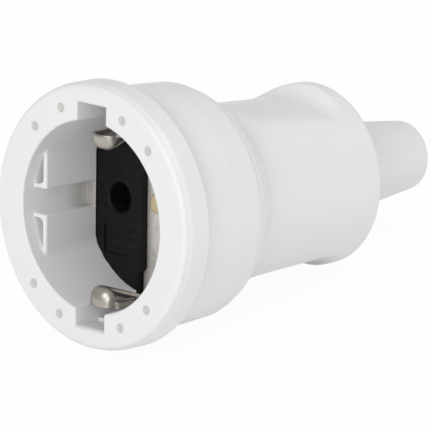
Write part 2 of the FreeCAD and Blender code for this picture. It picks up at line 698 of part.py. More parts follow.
def cord_clamp_bar():
    """Upper half of the cord clamp, resting on the two horns of the carrier's tongue."""
    half = CLAMP_SCREW_SPACING / 2 + CLAMP_BAR_MARGIN
    bar = along_x([
        (-half, 0, 0), (half, 0, 0),
        (half, CLAMP_BAR_HEIGHT, CLAMP_BAR_MARGIN), (-half, CLAMP_BAR_HEIGHT, CLAMP_BAR_MARGIN),
    ], CLAMP_X, CLAMP_END_X).common(handle_room(FIT))
    cuts = [clamp_trough(CLAMP_X, CLAMP_END_X)]
    for site in clamp_screw_sites():
        cuts.append(rod(CLAMP_SCREW_DIAMETER / 2 + SLIDE, site, site + V(0, 0, CLAMP_BAR_HEIGHT)))
    return bar.cut(cuts)


def cord_clamp_screws():
    """The two screws that close the cord clamp."""
    screws = []
    for site in clamp_screw_sites():
        tip = site - V(0, 0, NUT_DEPTH + NUT_THICKNESS)
        screws.append(slotted_screw(CLAMP_SCREW_DIAMETER, tip, site + V(0, 0, CLAMP_BAR_HEIGHT)))
    return Part.Compound(screws)


def cord_clamp_nuts():
    """Square nuts in side slots of the carrier's tongue."""
    nuts = []
    for site in clamp_screw_sites():
        hole = rod(CLAMP_SCREW_DIAMETER / 2 + SLIDE / 2, site - V(0, 0, NUT_DEPTH + NUT_THICKNESS), site)
        nuts.append(nut_block(site, 0).cut(hole))
    return Part.Compound(nuts)


def rest_tilt():
    """Angle in degrees by which the nose dips when collar and rear rim both touch the table."""
    run = (HANDLE_X - HANDLE_REAR_ROUND) - (COLLAR_LENGTH - COLLAR_REAR_ROUND)
    drop = (COLLAR_R - COLLAR_REAR_ROUND) - (HANDLE_R - HANDLE_REAR_ROUND)
    rounding = HANDLE_REAR_ROUND - COLLAR_REAR_ROUND
    return math.degrees(math.atan2(drop, run) - math.asin(rounding / math.hypot(run, drop)))


def rest_placement(outer_pieces):
    """Placement that tilts the connector about y and centres its outer pieces' box over the origin."""
    tilt = FreeCAD.Rotation(V(0, 1, 0), rest_tilt())
    laid = Part.Compound(outer_pieces)
    laid.Placement = FreeCAD.Placement(ORIGIN, tilt)
    box = laid.optimalBoundingBox(False, False)
    shift = V(-(box.XMin + box.XMax) / 2, -(box.YMin + box.YMax) / 2, -box.ZMin)
    return FreeCAD.Placement(shift, tilt)


PIECES = {
    "front_shroud": front_shroud(),
    "handle": handle(),
    "cable_sleeve": cable_sleeve(),
    "contact_carrier": contact_carrier(),
    "earth_bracket": earth_bracket(),
    "earth_rivet": earth_rivet(),
    "earth_terminal": earth_terminal(),
    "earth_terminal_screw": earth_terminal_screw(),
    "left_contact": pole_contact(1),
    "right_contact": pole_contact(-1),
    "left_contact_spring": contact_spring(1),
    "right_contact_spring": contact_spring(-1),
    "contact_retainer": contact_retainer(),
    "left_terminal": pole_terminal(1),
    "right_terminal": pole_terminal(-1),
    "pole_terminal_screws": pole_terminal_screws(),
    "cord_clamp_bar": cord_clamp_bar(),
    "cord_clamp_screws": cord_clamp_screws(),
    "cord_clamp_nuts": cord_clamp_nuts(),
}

REST = rest_placement([PIECES["front_shroud"], PIECES["handle"], PIECES["cable_sleeve"]])

os.makedirs("parts", exist_ok=True)
for name, shape in PIECES.items():
    resting = shape.copy()
    resting.Placement = REST.multiply(resting.Placement)
    resting.exportStep("parts/" + name + ".step")
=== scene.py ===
"""Dresses the inline earthed two-pole socket connector.

The white mouldings and the plated earth bracket are cast from distance fields, so that every edge has its
true round. The cable sleeve is turned, the screws come from a node tree, and every other piece keeps its
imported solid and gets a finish. A pale studio and the photograph's camera complete the scene.
"""

import json
import logging
import math
from dataclasses import dataclass
from enum import Enum
from typing import Any, Callable, Mapping, Sequence

import bmesh
import bpy
import numpy as np
from mathutils import Matrix, Vector


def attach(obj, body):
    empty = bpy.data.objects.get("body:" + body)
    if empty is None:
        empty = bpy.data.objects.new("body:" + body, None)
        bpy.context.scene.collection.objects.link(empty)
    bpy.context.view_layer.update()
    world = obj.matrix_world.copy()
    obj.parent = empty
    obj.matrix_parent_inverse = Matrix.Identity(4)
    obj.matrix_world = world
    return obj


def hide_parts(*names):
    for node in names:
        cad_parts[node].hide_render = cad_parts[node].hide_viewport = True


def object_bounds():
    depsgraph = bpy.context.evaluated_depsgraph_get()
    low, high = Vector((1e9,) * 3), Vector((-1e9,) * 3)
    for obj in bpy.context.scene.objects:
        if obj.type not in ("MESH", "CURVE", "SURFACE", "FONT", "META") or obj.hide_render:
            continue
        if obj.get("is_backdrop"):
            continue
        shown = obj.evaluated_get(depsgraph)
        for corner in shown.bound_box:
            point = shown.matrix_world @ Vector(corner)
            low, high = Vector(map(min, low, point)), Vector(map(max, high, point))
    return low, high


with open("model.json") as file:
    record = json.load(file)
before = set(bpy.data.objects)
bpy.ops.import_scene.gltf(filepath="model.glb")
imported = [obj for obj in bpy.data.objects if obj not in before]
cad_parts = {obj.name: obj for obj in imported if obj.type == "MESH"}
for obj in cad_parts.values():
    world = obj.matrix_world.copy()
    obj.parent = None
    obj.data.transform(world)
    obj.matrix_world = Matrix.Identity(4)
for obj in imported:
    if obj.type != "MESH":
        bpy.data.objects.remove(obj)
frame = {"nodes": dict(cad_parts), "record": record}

LOG = logging.getLogger("socket_connector")
MM = 0.001
BODY = "root"
AXIS_PLACE = "axis_place"
SHARP_ANGLE = math.radians(32.0)
MERGE_MM = 1e-4
DEGENERATE_MM = 1e-5
CAST_MARGIN = 0.9
DIMPLE_CIRCLE_R = 23.05
DIMPLE_ANGLES = (math.radians(22.5), math.radians(45.0))
WHITE = (1.0, 1.0, 1.0)

Array = np.ndarray
Span = tuple[float, float]
Triple = tuple[float, float, float]
Corner = Triple
Distance = Callable[[Array], Array]


class Slot(Enum):
    """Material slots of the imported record."""

    WHITE = "white_plastic"
    SLEEVE = "white_sleeve"
    BLACK = "black_plastic"
    NICKEL = "nickel_plate"
    BRASS = "brass"
    ZINC = "zinc_steel"


class Along(Enum):
    """Axes of the connector, as columns of a point array."""

    BACK = 0
    LEFT = 1
    UP = 2


@dataclass(frozen=True)
class ConnectorAxes:
    """The connector's own axes: x back from the face's centre, y left, z up, in millimetres."""

    matrix: Matrix

    @classmethod
    def from_record(cls, record: Mapping[str, Any]) -> "ConnectorAxes":
        """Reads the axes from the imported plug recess.

        Args:
            record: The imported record.

        Returns:
            The axes, whose matrix turns millimetres on the axis into metres in the row frame.
        """
        recess = next(m for m in record["mounts"] if m["name"] == "plug_recess")
        back = -Vector(recess["axis"]).normalized()
        left = Vector((0.0, 1.0, 0.0))
        up = back.cross(left)
        turn = Matrix((back, left, up)).transposed().to_4x4()
        matrix = Matrix.Translation(Vector(recess["pos_m"])) @ turn @ Matrix.Scale(MM, 4)
        return cls(matrix)

    def point(self, place: Sequence[float]) -> Vector:
        """A place on the connector's axes as a point in the row frame."""
        return self.matrix @ Vector(place)

    def direction(self, way: Sequence[float]) -> Vector:
        """A direction on the connector's axes as a unit vector in the row frame."""
        return (self.matrix.to_3x3() @ Vector(way)).normalized()


class Outline:
    """Closed outline of straight runs and tangent arcs in a plane."""

    ARC_STEP = math.radians(6.0)

    def __init__(self, corners: Sequence[Corner]) -> None:
        """Samples the outline, whose corners are (u, v, rounding)."""
        self.points = np.array([p for i in range(len(corners)) for p in self._corner(corners, i)])

    def _corner(self, corners: Sequence[Corner], index: int) -> list[Vector]:
        """Points of one corner: itself, or its arc.

        Args:
            corners: All corners of the outline.
            index: Which of them to sample.

        Returns:
            The corner's points in order.
        """
        u, v, radius = corners[index]
        here = Vector((u, v))
        if radius == 0:
            return [here]
        before = (Vector(corners[index - 1][:2]) - here).normalized()
        after = (Vector(corners[(index + 1) % len(corners)][:2]) - here).normalized()
        half = before.angle(after) / 2
        centre = here + (before + after).normalized() * (radius / math.sin(half))
        first = here + before * (radius / math.tan(half)) - centre
        sweep = math.pi - 2 * half
        sign = math.copysign(1.0, before.x * after.y - before.y * after.x)
        count = max(2, math.ceil(sweep / self.ARC_STEP))
        turns = [-sign * sweep * i / count for i in range(count + 1)]
        return [centre + Vector((first.x * math.cos(t) - first.y * math.sin(t),
                                 first.x * math.sin(t) + first.y * math.cos(t))) for t in turns]

    def distance(self, u: Array, v: Array) -> Array:
        """Signed distance of points to the outline, negative inside.

        Args:
            u: First coordinates.
            v: Second coordinates.

        Returns:
            One distance for each point.
        """
        nearest = np.full(u.shape, np.inf)
        inside = np.zeros(u.shape, bool)
        for start, end in zip(self.points, np.roll(self.points, 1, axis=0)):
            run = end - start
            length = run @ run
            if length == 0:
                continue
            du, dv = u - start[0], v - start[1]
            share = np.clip((du * run[0] + dv * run[1]) / length, 0, 1)
            nearest = np.minimum(nearest, (du - run[0] * share) ** 2 + (dv - run[1] * share) ** 2)
            crosses = (v >= start[1]) != (v >= end[1])
            inside ^= crosses & ((run[0] * dv > run[1] * du) == (run[1] > 0)) & (run[1] != 0)
        return np.where(inside, -1.0, 1.0) * np.sqrt(nearest)


@dataclass(frozen=True)
class Field:
    """Solid given by its signed distance in millimetres on the connector's axes, negative inside."""

    distance: Distance

    def __and__(self, other: "Field") -> "Field":
        """What both solids hold."""
        return Field(lambda p: np.maximum(self.distance(p), other.distance(p)))

    def __or__(self, other: "Field") -> "Field":
        """What either solid holds."""
        return Field(lambda p: np.minimum(self.distance(p), other.distance(p)))

    def __invert__(self) -> "Field":
        """Everything outside the solid."""
        return Field(lambda p: -self.distance(p))

    def joined(self, other: "Field", fillet: float) -> "Field":
        """Both solids as one, with a fillet of the given radius where they meet."""
        return ~((~self).within(~other, fillet))

    def within(self, other: "Field", rounding: float) -> "Field":
        """What both solids hold, with rounded edges where their surfaces cross.

        Args:
            other: The solid that limits this one.
            rounding: Radius of the new edges.

        Returns:
            The limited solid.
        """
        def distance(p: Array) -> Array:
            """Signed distance of the limited solid."""
            a, b = self.distance(p), other.distance(p)
            rise = np.hypot(np.maximum(a + rounding, 0), np.maximum(b + rounding, 0))
            return np.minimum(-rounding, np.maximum(a, b)) + rise
        return Field(distance)

    def cut(self, tool: "Field", rounding: float) -> "Field":
        """This solid less a tool, with new edges of the given radius."""
        return self.within(~tool, rounding)

    def folded(self, *axes: Along) -> "Field":
        """The solid together with its mirror images.

        Args:
            axes: Axes across which it is mirrored.

        Returns:
            The mirrored solids as one.
        """
        def distance(p: Array) -> Array:
            """Signed distance with the chosen coordinates made positive."""
            q = p.copy()
            for axis in axes:
                q[:, axis.value] = np.abs(q[:, axis.value])
            return self.distance(q)
        return Field(distance)

    def half_turned(self) -> "Field":
        """The solid turned half a turn about the connector's axis."""
        return Field(lambda p: self.distance(p * (1.0, -1.0, -1.0)))

    def flipped(self) -> "Field":
        """The solid mirrored from top to bottom."""
        return Field(lambda p: self.distance(p * (1.0, 1.0, -1.0)))

    def slope(self, points: Array, step: float = 0.01) -> Array:
        """Outward unit normals of the solid at points.

        Args:
            points: Places in millimetres.
            step: Half the span of the differences.

        Returns:
            One unit vector for each point.
        """
        normals = np.empty_like(points)
        for axis in Along:
            shift = np.zeros(3)
            shift[axis.value] = step
            normals[:, axis.value] = self.distance(points + shift) - self.distance(points - shift)
        return normals / np.maximum(np.linalg.norm(normals, axis=1, keepdims=True), 1e-9)


def turned_field(corners: Sequence[Corner]) -> Field:
    """Solid turned about the connector's axis, from an outline of (x, radius, rounding)."""
    outline = Outline(corners)
    return Field(lambda p: outline.distance(p[:, 0], np.hypot(p[:, 1], p[:, 2])))


def prism_field(corners: Sequence[Corner], first: Along, second: Along) -> Field:
    """Endless prism whose outline lies in the plane of two axes."""
    outline = Outline(corners)
    return Field(lambda p: outline.distance(p[:, first.value], p[:, second.value]))


def slab(axis: Along, low: float, high: float) -> Field:
    """Everything between two planes square to an axis."""
    return Field(lambda p: np.maximum(low - p[:, axis.value], p[:, axis.value] - high))


def rod_field(radius: float) -> Field:
    """Endless round rod on the connector's axis."""
    return Field(lambda p: np.hypot(p[:, 1], p[:, 2]) - radius)


def ball_field(centre: Sequence[float], radius: float) -> Field:
    """Ball round a centre."""
    return Field(lambda p: np.linalg.norm(p - np.asarray(centre), axis=1) - radius)


def wedge_field(start: float, end: float) -> Field:
    """Sector of under half a turn about the axis, between angles in degrees from the left."""
    first, last = math.radians(start), math.radians(end)
    return Field(lambda p: np.maximum(math.sin(first) * p[:, 1] - math.cos(first) * p[:, 2],
                                      math.cos(last) * p[:, 2] - math.sin(last) * p[:, 1]))


@dataclass(frozen=True)
class Casting:
    """Turns a field into a closed mesh whose vertices and normals lie on the field's own surface."""

    field: Field
    low: Triple
    high: Triple
    pitch: float
    kept_share: float

    BLOCK = 6
    CHUNK = 400_000
    SETTLING_STEPS = 3

    def _values(self) -> Array:
        """Distances on a grid, worked out only in blocks that the surface can reach."""
        span = self.pitch * self.BLOCK
        counts = np.ceil((np.array(self.high) - self.low) / span).astype(int)
        blocks = np.indices(counts).reshape(3, -1).T
        middle = (self.BLOCK - 1) / 2 * self.pitch
        centre = self.field.distance(np.array(self.low) + blocks * span + middle)
        reach = span * math.sqrt(3) / 2 + self.pitch
        grid = np.where(centre < 0, -reach, reach).reshape(counts)
        for axis in range(3):
            grid = np.repeat(grid, self.BLOCK, axis=axis)
        inner = np.indices((self.BLOCK,) * 3).reshape(3, -1).T
        nodes = (blocks[np.abs(centre) <= reach][:, None, :] * self.BLOCK + inner).reshape(-1, 3)
        for start in range(0, len(nodes), self.CHUNK):
            part = nodes[start:start + self.CHUNK]
            grid[tuple(part.T)] = self.field.distance(np.array(self.low) + part * self.pitch)
        return grid

    def _net(self) -> tuple[Array, Array]:
        """Surface net of the grid: one vertex in each crossed cell, one quad on each crossed grid edge.

        Returns:
            The vertices and the quads.
        """
        grid = self._values()
        solid = grid < 0
        corners = np.indices((2, 2, 2)).reshape(3, -1).T
        cells = tuple(n - 1 for n in grid.shape)
        held = sum(solid[tuple(slice(c, c + n) for c, n in zip(corner, cells))].astype(np.int8)
                   for corner in corners)
        crossed = (held > 0) & (held < len(corners))
        number = np.full(cells, -1)
        number[crossed] = np.arange(crossed.sum())
        cell = np.argwhere(crossed)
        total = np.zeros(cell.shape)
        count = np.zeros(len(cell))
        for a in corners:
            for axis in np.flatnonzero(a == 0):
                b = a.copy()
                b[axis] = 1
                here, there = grid[tuple((cell + a).T)], grid[tuple((cell + b).T)]
                hit = (here < 0) != (there < 0)
                share = np.where(hit, here / np.where(hit, here - there, 1.0), 0.0)
                total += hit[:, None] * (a + share[:, None] * (b - a))
                count += hit
        points = np.array(self.low) + self.pitch * (cell + total / count[:, None])
        return points, np.vstack([self._quads(solid, number, axis) for axis in range(3)])

    @staticmethod
    def _quads(solid: Array, number: Array, axis: int) -> Array:
        """Quads on the crossed grid edges along one axis.

        Args:
            solid: Which grid points are inside.
            number: The vertex of each cell.
            axis: Direction of the grid edges.

        Returns:
            The quads, facing outwards.
        """
        strap_sheen = np.moveaxis(solid, axis, 0)
        cells = np.moveaxis(number, axis, 0)
        edges = np.argwhere(strap_sheen[:-1, 1:-1, 1:-1] != strap_sheen[1:, 1:-1, 1:-1])
        i, j, k = edges.T
        around = ((0, 0), (1, 0), (1, 1), (0, 1))
        quads = np.stack([cells[i, j + dj, k + dk] for dj, dk in around], 1)
        outward = strap_sheen[i, j + 1, k + 1] ^ (axis == 1)
        return np.where(outward[:, None], quads, quads[:, ::-1])

    def _settled(self, points: Array) -> Array:
        """Points moved onto the field's surface."""
        for _ in range(self.SETTLING_STEPS):
            points = points - self.field.distance(points)[:, None] * self.field.slope(points)
        return points

    def mesh(self, name: str, axes: ConnectorAxes) -> bpy.types.Mesh:
        """Casts the field.

        Args:
            name: Name of the mesh.
            axes: The connector's axes.

        Returns:
            A smooth closed mesh in the row frame.
        """
        points, quads = self._net()
        dense = mesh_from(name + "_dense", self._settled(points), quads.tolist())
        thinned = thinned_mesh(dense, self.kept_share)
        thinned.name = name
        places = self._settled(vertex_places(thinned))
        normals = self.field.slope(places)
        thinned.vertices.foreach_set("co", places.ravel())
        thinned.transform(axes.matrix)
        turn = np.array(axes.matrix.to_3x3().normalized())
        thinned.shade_smooth()
        thinned.normals_split_custom_set_from_vertices((normals @ turn.T).tolist())
        return thinned


def mesh_from(name: str, points: Array, faces: Sequence[Sequence[int]]) -> bpy.types.Mesh:
    """New mesh from points and faces."""
    mesh = bpy.data.meshes.new(name)
    mesh.from_pydata(np.asarray(points).tolist(), [], faces)
    mesh.update()
    return mesh


def linked(name: str, data: bpy.types.ID) -> bpy.types.Object:
    """New object in the scene.

    Args:
        name: Its name.
        data: Its mesh, camera or lamp.

    Returns:
        The object.
    """
    item = bpy.data.objects.new(name, data)
    bpy.context.scene.collection.objects.link(item)
    return item


def vertex_places(mesh: bpy.types.Mesh) -> Array:
    """Places of a mesh's vertices.

    Args:
        mesh: The mesh.

    Returns:
        One row for each vertex.
    """
    places = np.empty(len(mesh.vertices) * 3)
    mesh.vertices.foreach_get("co", places)
    return places.reshape(-1, 3)


def evaluated_mesh(holder: bpy.types.Object) -> bpy.types.Mesh:
    """Plain mesh of an object with its modifiers, after which the object is removed.

    Args:
        holder: The object that carries the modifiers.

    Returns:
        The finished mesh.
    """
    graph = bpy.context.evaluated_depsgraph_get()
    mesh = bpy.data.meshes.new_from_object(holder.evaluated_get(graph))
    bpy.data.objects.remove(holder)
    return mesh


def mark_places(mesh: bpy.types.Mesh, axes: ConnectorAxes) -> None:
    """Stores each vertex's place on the connector's axes, in millimetres, for the finish to read.

    Args:
        mesh: A mesh in the row frame.
        axes: The connector's axes.
    """
    back = np.array(axes.matrix.inverted())
    places = vertex_places(mesh) @ back[:3, :3].T + back[:3, 3]
    mesh.attributes.new(AXIS_PLACE, "FLOAT_VECTOR", "POINT").data.foreach_set("vector", places.ravel())


def thinned_mesh(mesh: bpy.types.Mesh, share: float) -> bpy.types.Mesh:
    """The same surface with fewer triangles.

    Args:
        mesh: A closed mesh, which is removed.
        share: Share of the triangles that stays.

    Returns:
        The thinned mesh.
    """
    holder = linked(mesh.name, mesh)
    thin = holder.modifiers.new("thin", "DECIMATE")
    thin.ratio = share
    thin.use_collapse_triangulate = True
    thinned = evaluated_mesh(holder)
    bpy.data.meshes.remove(mesh)
    return thinned


def placed(name: str, mesh: bpy.types.Mesh, finish: bpy.types.Material, slot: Slot,
           nodes: Sequence[str]) -> None:
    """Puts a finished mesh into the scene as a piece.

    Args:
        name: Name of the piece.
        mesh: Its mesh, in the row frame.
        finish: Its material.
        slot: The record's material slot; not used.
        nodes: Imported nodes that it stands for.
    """
    mesh.materials.clear()
    mesh.materials.append(finish)
    piece = linked(name, mesh)
    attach(piece, BODY)
    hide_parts(*nodes)
    LOG.info("%s: %d faces", name, len(mesh.polygons))


class Signal:
    """Socket of a node tree that takes part in Python arithmetic."""

    def __init__(self, graph: "NodeGraph", socket: bpy.types.NodeSocket) -> None:
        """Wraps an output socket of a tree."""
        self.graph = graph
        self.socket = socket

    def _math(self, operation: str, *values: Any) -> "Signal":
        """Result of a new Math node on numbers and signals."""
        return self.graph.out("ShaderNodeMath", {"operation": operation}, dict(enumerate(values)))

    def __add__(self, other: Any) -> "Signal":
        """Sum."""
        return self._math("ADD", self, other)

    __radd__ = __add__

    def __sub__(self, other: Any) -> "Signal":
        """Difference."""
        return self._math("SUBTRACT", self, other)

    def __rsub__(self, other: Any) -> "Signal":
        """Difference from a number."""
        return self._math("SUBTRACT", other, self)

    def __mul__(self, other: Any) -> "Signal":
        """Product."""
        return self._math("MULTIPLY", self, other)

    __rmul__ = __mul__

    def __truediv__(self, other: Any) -> "Signal":
        """Quotient."""
        return self._math("DIVIDE", self, other)

    def __pow__(self, other: Any) -> "Signal":
        """Power."""
        return self._math("POWER", self, other)

    def __abs__(self) -> "Signal":
        """Size without sign."""
        return self._math("ABSOLUTE", self)

    def __gt__(self, other: Any) -> "Signal":
        """One where this is larger, else zero."""
        return self._math("GREATER_THAN", self, other)

    def __lt__(self, other: Any) -> "Signal":
        """One where this is smaller, else zero."""
        return self._math("LESS_THAN", self, other)


class NodeGraph:
    """Node tree with one way to add nodes."""

    def __init__(self, tree: bpy.types.NodeTree) -> None:
        """Empties a tree, to fill it anew."""
        self.tree = tree
        tree.nodes.clear()

    def node(self, kind: str, settings: Mapping[str, Any] | None = None,
             inputs: Mapping[Any, Any] | None = None) -> bpy.types.Node:
        """Adds a node.

        Args:
            kind: The node's type.
            settings: Its properties, set first.
            inputs: Values or signals for its sockets, by identifier, name or number.

        Returns:
            The new node.
        """
        node = self.tree.nodes.new(kind)
        for name, value in (settings or {}).items():
            setattr(node, name, value)
        for key, value in (inputs or {}).items():
            socket = self._socket(node.inputs, key)
            for item in value if isinstance(value, list) else [value]:
                if isinstance(item, Signal):
                    self.tree.links.new(item.socket, socket)
                else:
                    socket.default_value = item
        return node

    @staticmethod
    def _socket(sockets: Any, key: Any) -> bpy.types.NodeSocket:
        """One of a node's sockets by identifier, name or number."""
        return next((s for s in sockets if s.identifier == key), None) or sockets[key]

    def out(self, kind: str, settings: Mapping[str, Any] | None = None,
            inputs: Mapping[Any, Any] | None = None, output: Any = 0) -> Signal:
        """Adds a node and gives its output of that name or number."""
        return Signal(self, self._socket(self.node(kind, settings, inputs).outputs, output))


class FinishGraph(NodeGraph):
    """Shader tree of one finish, with patterns in millimetres on the piece itself."""

    def __init__(self, name: str) -> None:
        """Starts a material of that name."""
        self.material = bpy.data.materials.new(name)
        self.material.use_nodes = True
        super().__init__(self.material.node_tree)
        metres = self.out("ShaderNodeTexCoord", output="Object")
        self.place = self.out("ShaderNodeVectorMath", {"operation": "SCALE"}, {0: metres, "Scale": 1 / MM})

    def noise(self, size_mm: float, detail: float = 2.0, stretch: Sequence[float] | None = None) -> Signal:
        """Soft noise from zero to one.

        Args:
            size_mm: Size of its features.
            detail: Octaves of finer noise.
            stretch: Factors on the three axes, where it runs along a direction.

        Returns:
            The noise.
        """
        place = self.place
        if stretch is not None:
            place = self.out("ShaderNodeVectorMath", {"operation": "MULTIPLY"}, {0: place, 1: tuple(stretch)})
        return self.out("ShaderNodeTexNoise", None, {"Vector": place, "Scale": 1 / size_mm, "Detail": detail})

    def specks(self, spacing_mm: float, size_mm: float, share: float) -> Signal:
        """Sparse round specks, one where a speck is and zero elsewhere.

        Args:
            spacing_mm: Mean distance of the sites.
            size_mm: Radius of a speck.
            share: Share of the sites that have one.

        Returns:
            The mask.
        """
        cells = self.node("ShaderNodeTexVoronoi", None, {"Vector": self.place, "Scale": 1 / spacing_mm})
        near = Signal(self, cells.outputs["Distance"]) < size_mm / spacing_mm
        chance = self.out("ShaderNodeSeparateColor", None, {0: Signal(self, cells.outputs["Color"])})
        return near * (chance < share)

    def axis_place(self) -> list[Signal]:
        """The three coordinates that mark_places stored, or zeros on a mesh without them."""
        place = self.out("ShaderNodeAttribute", {"attribute_name": AXIS_PLACE}, output="Vector")
        parts = self.node("ShaderNodeSeparateXYZ", None, {0: place})
        return [Signal(self, socket) for socket in parts.outputs]

    def ramp(self, value: Signal, low: float, high: float) -> Signal:
        """Smooth rise from zero at the low value to one at the high value."""
        return self.out("ShaderNodeMapRange", {"interpolation_type": "SMOOTHSTEP"},
                        {0: value, "From Min": low, "From Max": high})

    def blend(self, factor: Any, first: Any, second: Any) -> Signal:
        """Mix of two colours, by the share of the second."""
        return self.out("ShaderNodeMix", {"data_type": "RGBA"},
                        {"Factor_Float": factor, "A_Color": first, "B_Color": second}, "Result_Color")

    def bump(self, height: Signal, depth_mm: float, strength: float) -> Signal:
        """Normal from a height pattern between zero and one."""
        return self.out("ShaderNodeBump", None,
                        {"Strength": strength, "Distance": depth_mm * MM, "Height": height})

    def finish(self, inputs: Mapping[str, Any]) -> bpy.types.Material:
        """Closes the tree with one shader.

        Args:
            inputs: Values or signals of the shader's sockets.

        Returns:
            The material.
        """
        shader = self.out("ShaderNodeBsdfPrincipled", None, inputs)
        self.node("ShaderNodeOutputMaterial", None, {"Surface": shader})
        return self.material


def rgba(colour: Sequence[float], factor: float = 1.0) -> tuple[float, float, float, float]:
    """Opaque colour, made lighter or darker by a factor."""
    return (colour[0] * factor, colour[1] * factor, colour[2] * factor, 1.0)


@dataclass(frozen=True)
class MouldedWhite:
    """Satin white moulding compound with a faint flow mottle, fine skin texture, rare dust specks, a darker
    tone in the face's dimples and painted shade at the ends of the rail grooves.
    """

    name: str
    colour: Triple = (0.835, 0.838, 0.842)
    roughness: float = 0.34
    refraction: float = 1.5
    mottle_mm: float = 9.0
    mottle_tones: Span = (0.985, 1.015)
    skin_mm: float = 0.16
    skin_bump: Span = (0.012, 0.25)
    uneven: Span = (0.08, 0.06)
    specks: Triple = (3.4, 0.12, 0.08)
    speck: Triple = (0.35, 0.34, 0.33)
    speck_share: float = 0.5
    # Darker tone for the face's dimples, also used as painted shade at the ends of the rail grooves.
    dimple_tone_groove_shade: Triple = (0.5, 0.485, 0.46)
    dimple_r: float = 1.0
    dimple_blur: float = 0.15
    dimple_x: float = 1.0
    dimple_share: float = 0.72
    groove_x: Span = (11.0, 17.0)
    groove_y: Span = (16.1, 20.5)
    groove_half: float = 2.65
    recess_depth: float = 17.6

    def _settled(self, graph: FinishGraph) -> Signal:
        """Share of the darker tone painted into the face's dimples, and of painted shade towards the ends of
        the rail grooves.

        Args:
            graph: The finish's tree.

        Returns:
            The share.
        """
        back, left, up = graph.axis_place()
        aside, height = abs(left), abs(up)
        low, high = self.dimple_r - self.dimple_blur, self.dimple_r + self.dimple_blur
        dimples = []
        for turn in DIMPLE_ANGLES:
            across = aside - DIMPLE_CIRCLE_R * math.sin(turn)
            along = height - DIMPLE_CIRCLE_R * math.cos(turn)
            apart = (across * across + along * along) ** 0.5
            dimples.append(1.0 - graph.ramp(apart, low, high))
        # The face's dimples are painted a darker tone.
        in_face = (dimples[0] + dimples[1]) * (back < self.dimple_x) * self.dimple_share
        # Painted shade, darker towards the closed ends of the rail grooves.
        groove_shade_mask = (height < self.groove_half) * (aside > self.groove_y[0]) * (aside < self.groove_y[1])
        return in_face + groove_shade_mask * graph.ramp(back, *self.groove_x) * (back < self.recess_depth)

    def material(self) -> bpy.types.Material:
        """Builds the finish.

        Returns:
            The material.
        """
        graph = FinishGraph(self.name)
        mottle = graph.noise(self.mottle_mm, 3.0)
        skin = graph.noise(self.skin_mm, 2.0)
        tone = graph.blend(mottle, *(rgba(self.colour, factor) for factor in self.mottle_tones))
        # Dimples painted darker, and painted shade at the groove ends.
        toned_and_shaded = graph.blend(self._settled(graph), tone, rgba(self.dimple_tone_groove_shade))
        dust = graph.specks(*self.specks) * self.speck_share
        uneven = (skin - 0.5) * self.uneven[0] + (mottle - 0.5) * self.uneven[1]
        return graph.finish({
            "Base Color": graph.blend(dust, toned_and_shaded, rgba(self.speck)),
            "Roughness": self.roughness + uneven,
            "Normal": graph.bump(skin, *self.skin_bump),
            "IOR": self.refraction,
        })


@dataclass(frozen=True)
class SparkedBlack:
    """Black moulding compound with a fine eroded texture whose grains catch light."""

    name: str
    colour: Triple = (0.005, 0.005, 0.006)
    glint: Triple = (0.04, 0.04, 0.043)
    roughness: float = 0.5
    specular: float = 0.16
    grain_mm: float = 0.14
    grain_bump: Span = (0.05, 0.6)
    cloud_mm: float = 4.0
    uneven: Span = (0.3, 0.1)
    specks: Triple = (0.32, 0.09, 0.3)
    speck_share: float = 0.8

    def material(self) -> bpy.types.Material:
        """Builds the finish.

        Returns:
            The material.
        """
        graph = FinishGraph(self.name)
        grain = graph.noise(self.grain_mm, 3.0)
        cloud = graph.noise(self.cloud_mm, 2.0)
        glints = graph.specks(*self.specks) * self.speck_share
        uneven = (grain - 0.5) * self.uneven[0] + (cloud - 0.5) * self.uneven[1]
        return graph.finish({
            "Base Color": graph.blend(glints, rgba(self.colour), rgba(self.glint)),
            "Roughness": self.roughness + uneven,
            "Normal": graph.bump(grain, *self.grain_bump),
            "Specular IOR Level": self.specular,
        })


@dataclass(frozen=True)
class PlatedMetal:
    """Rolled or plated sheet metal with drawn marks, soft stains and a slightly uneven polish; on a piece
    that carries its axis places, the strap at the back is painted lighter as a painted reflection, and made
    rougher.
    """

    name: str
    colour: Triple
    stain: Triple
    roughness: float
    stain_start: float = 0.52
    stain_gain: float = 4.0
    stain_share: float = 0.35
    # Lighter colour of the strap: painted reflected light.
    strap_sheen: Triple = (0.9, 0.87, 0.82)
    strap_roughness_gain: float = 0.2
    strap_sheen_x: Span = (18.0, 19.2)
    drawn_mm: float = 0.25
    drawn_stretch: Triple = (0.12, 1.0, 1.0)
    drawn_bump: Span = (0.003, 0.15)
    cloud_mm: float = 2.2
    uneven: Span = (0.05, 0.12)
    specks: Triple = (1.9, 0.13, 0.3)
    speck_share: float = 0.35

    def material(self) -> bpy.types.Material:
        """Builds the finish.

        Returns:
            The material.
        """
        graph = FinishGraph(self.name)
        drawn = graph.noise(self.drawn_mm, 2.0, self.drawn_stretch)
        cloud = graph.noise(self.cloud_mm, 3.0)
        rise = cloud - self.stain_start
        stained = rise * self.stain_gain * (rise > 0.0) * self.stain_share
        spots = graph.specks(*self.specks) * self.speck_share
        # The strap band at the back is painted lighter as a painted reflection, and made rougher.
        strap_sheen = graph.ramp(graph.axis_place()[Along.BACK.value], *self.strap_sheen_x)
        sheet = graph.blend(strap_sheen, rgba(self.colour), rgba(self.strap_sheen))
        uneven = (drawn - 0.5) * self.uneven[0] + (cloud - 0.5) * self.uneven[1]
        return graph.finish({
            "Base Color": graph.blend(stained + spots, sheet, rgba(self.stain)),
            "Metallic": 1.0,
            "Roughness": self.roughness + strap_sheen * self.strap_roughness_gain + uneven,
            "Normal": graph.bump(drawn, *self.drawn_bump),
        })


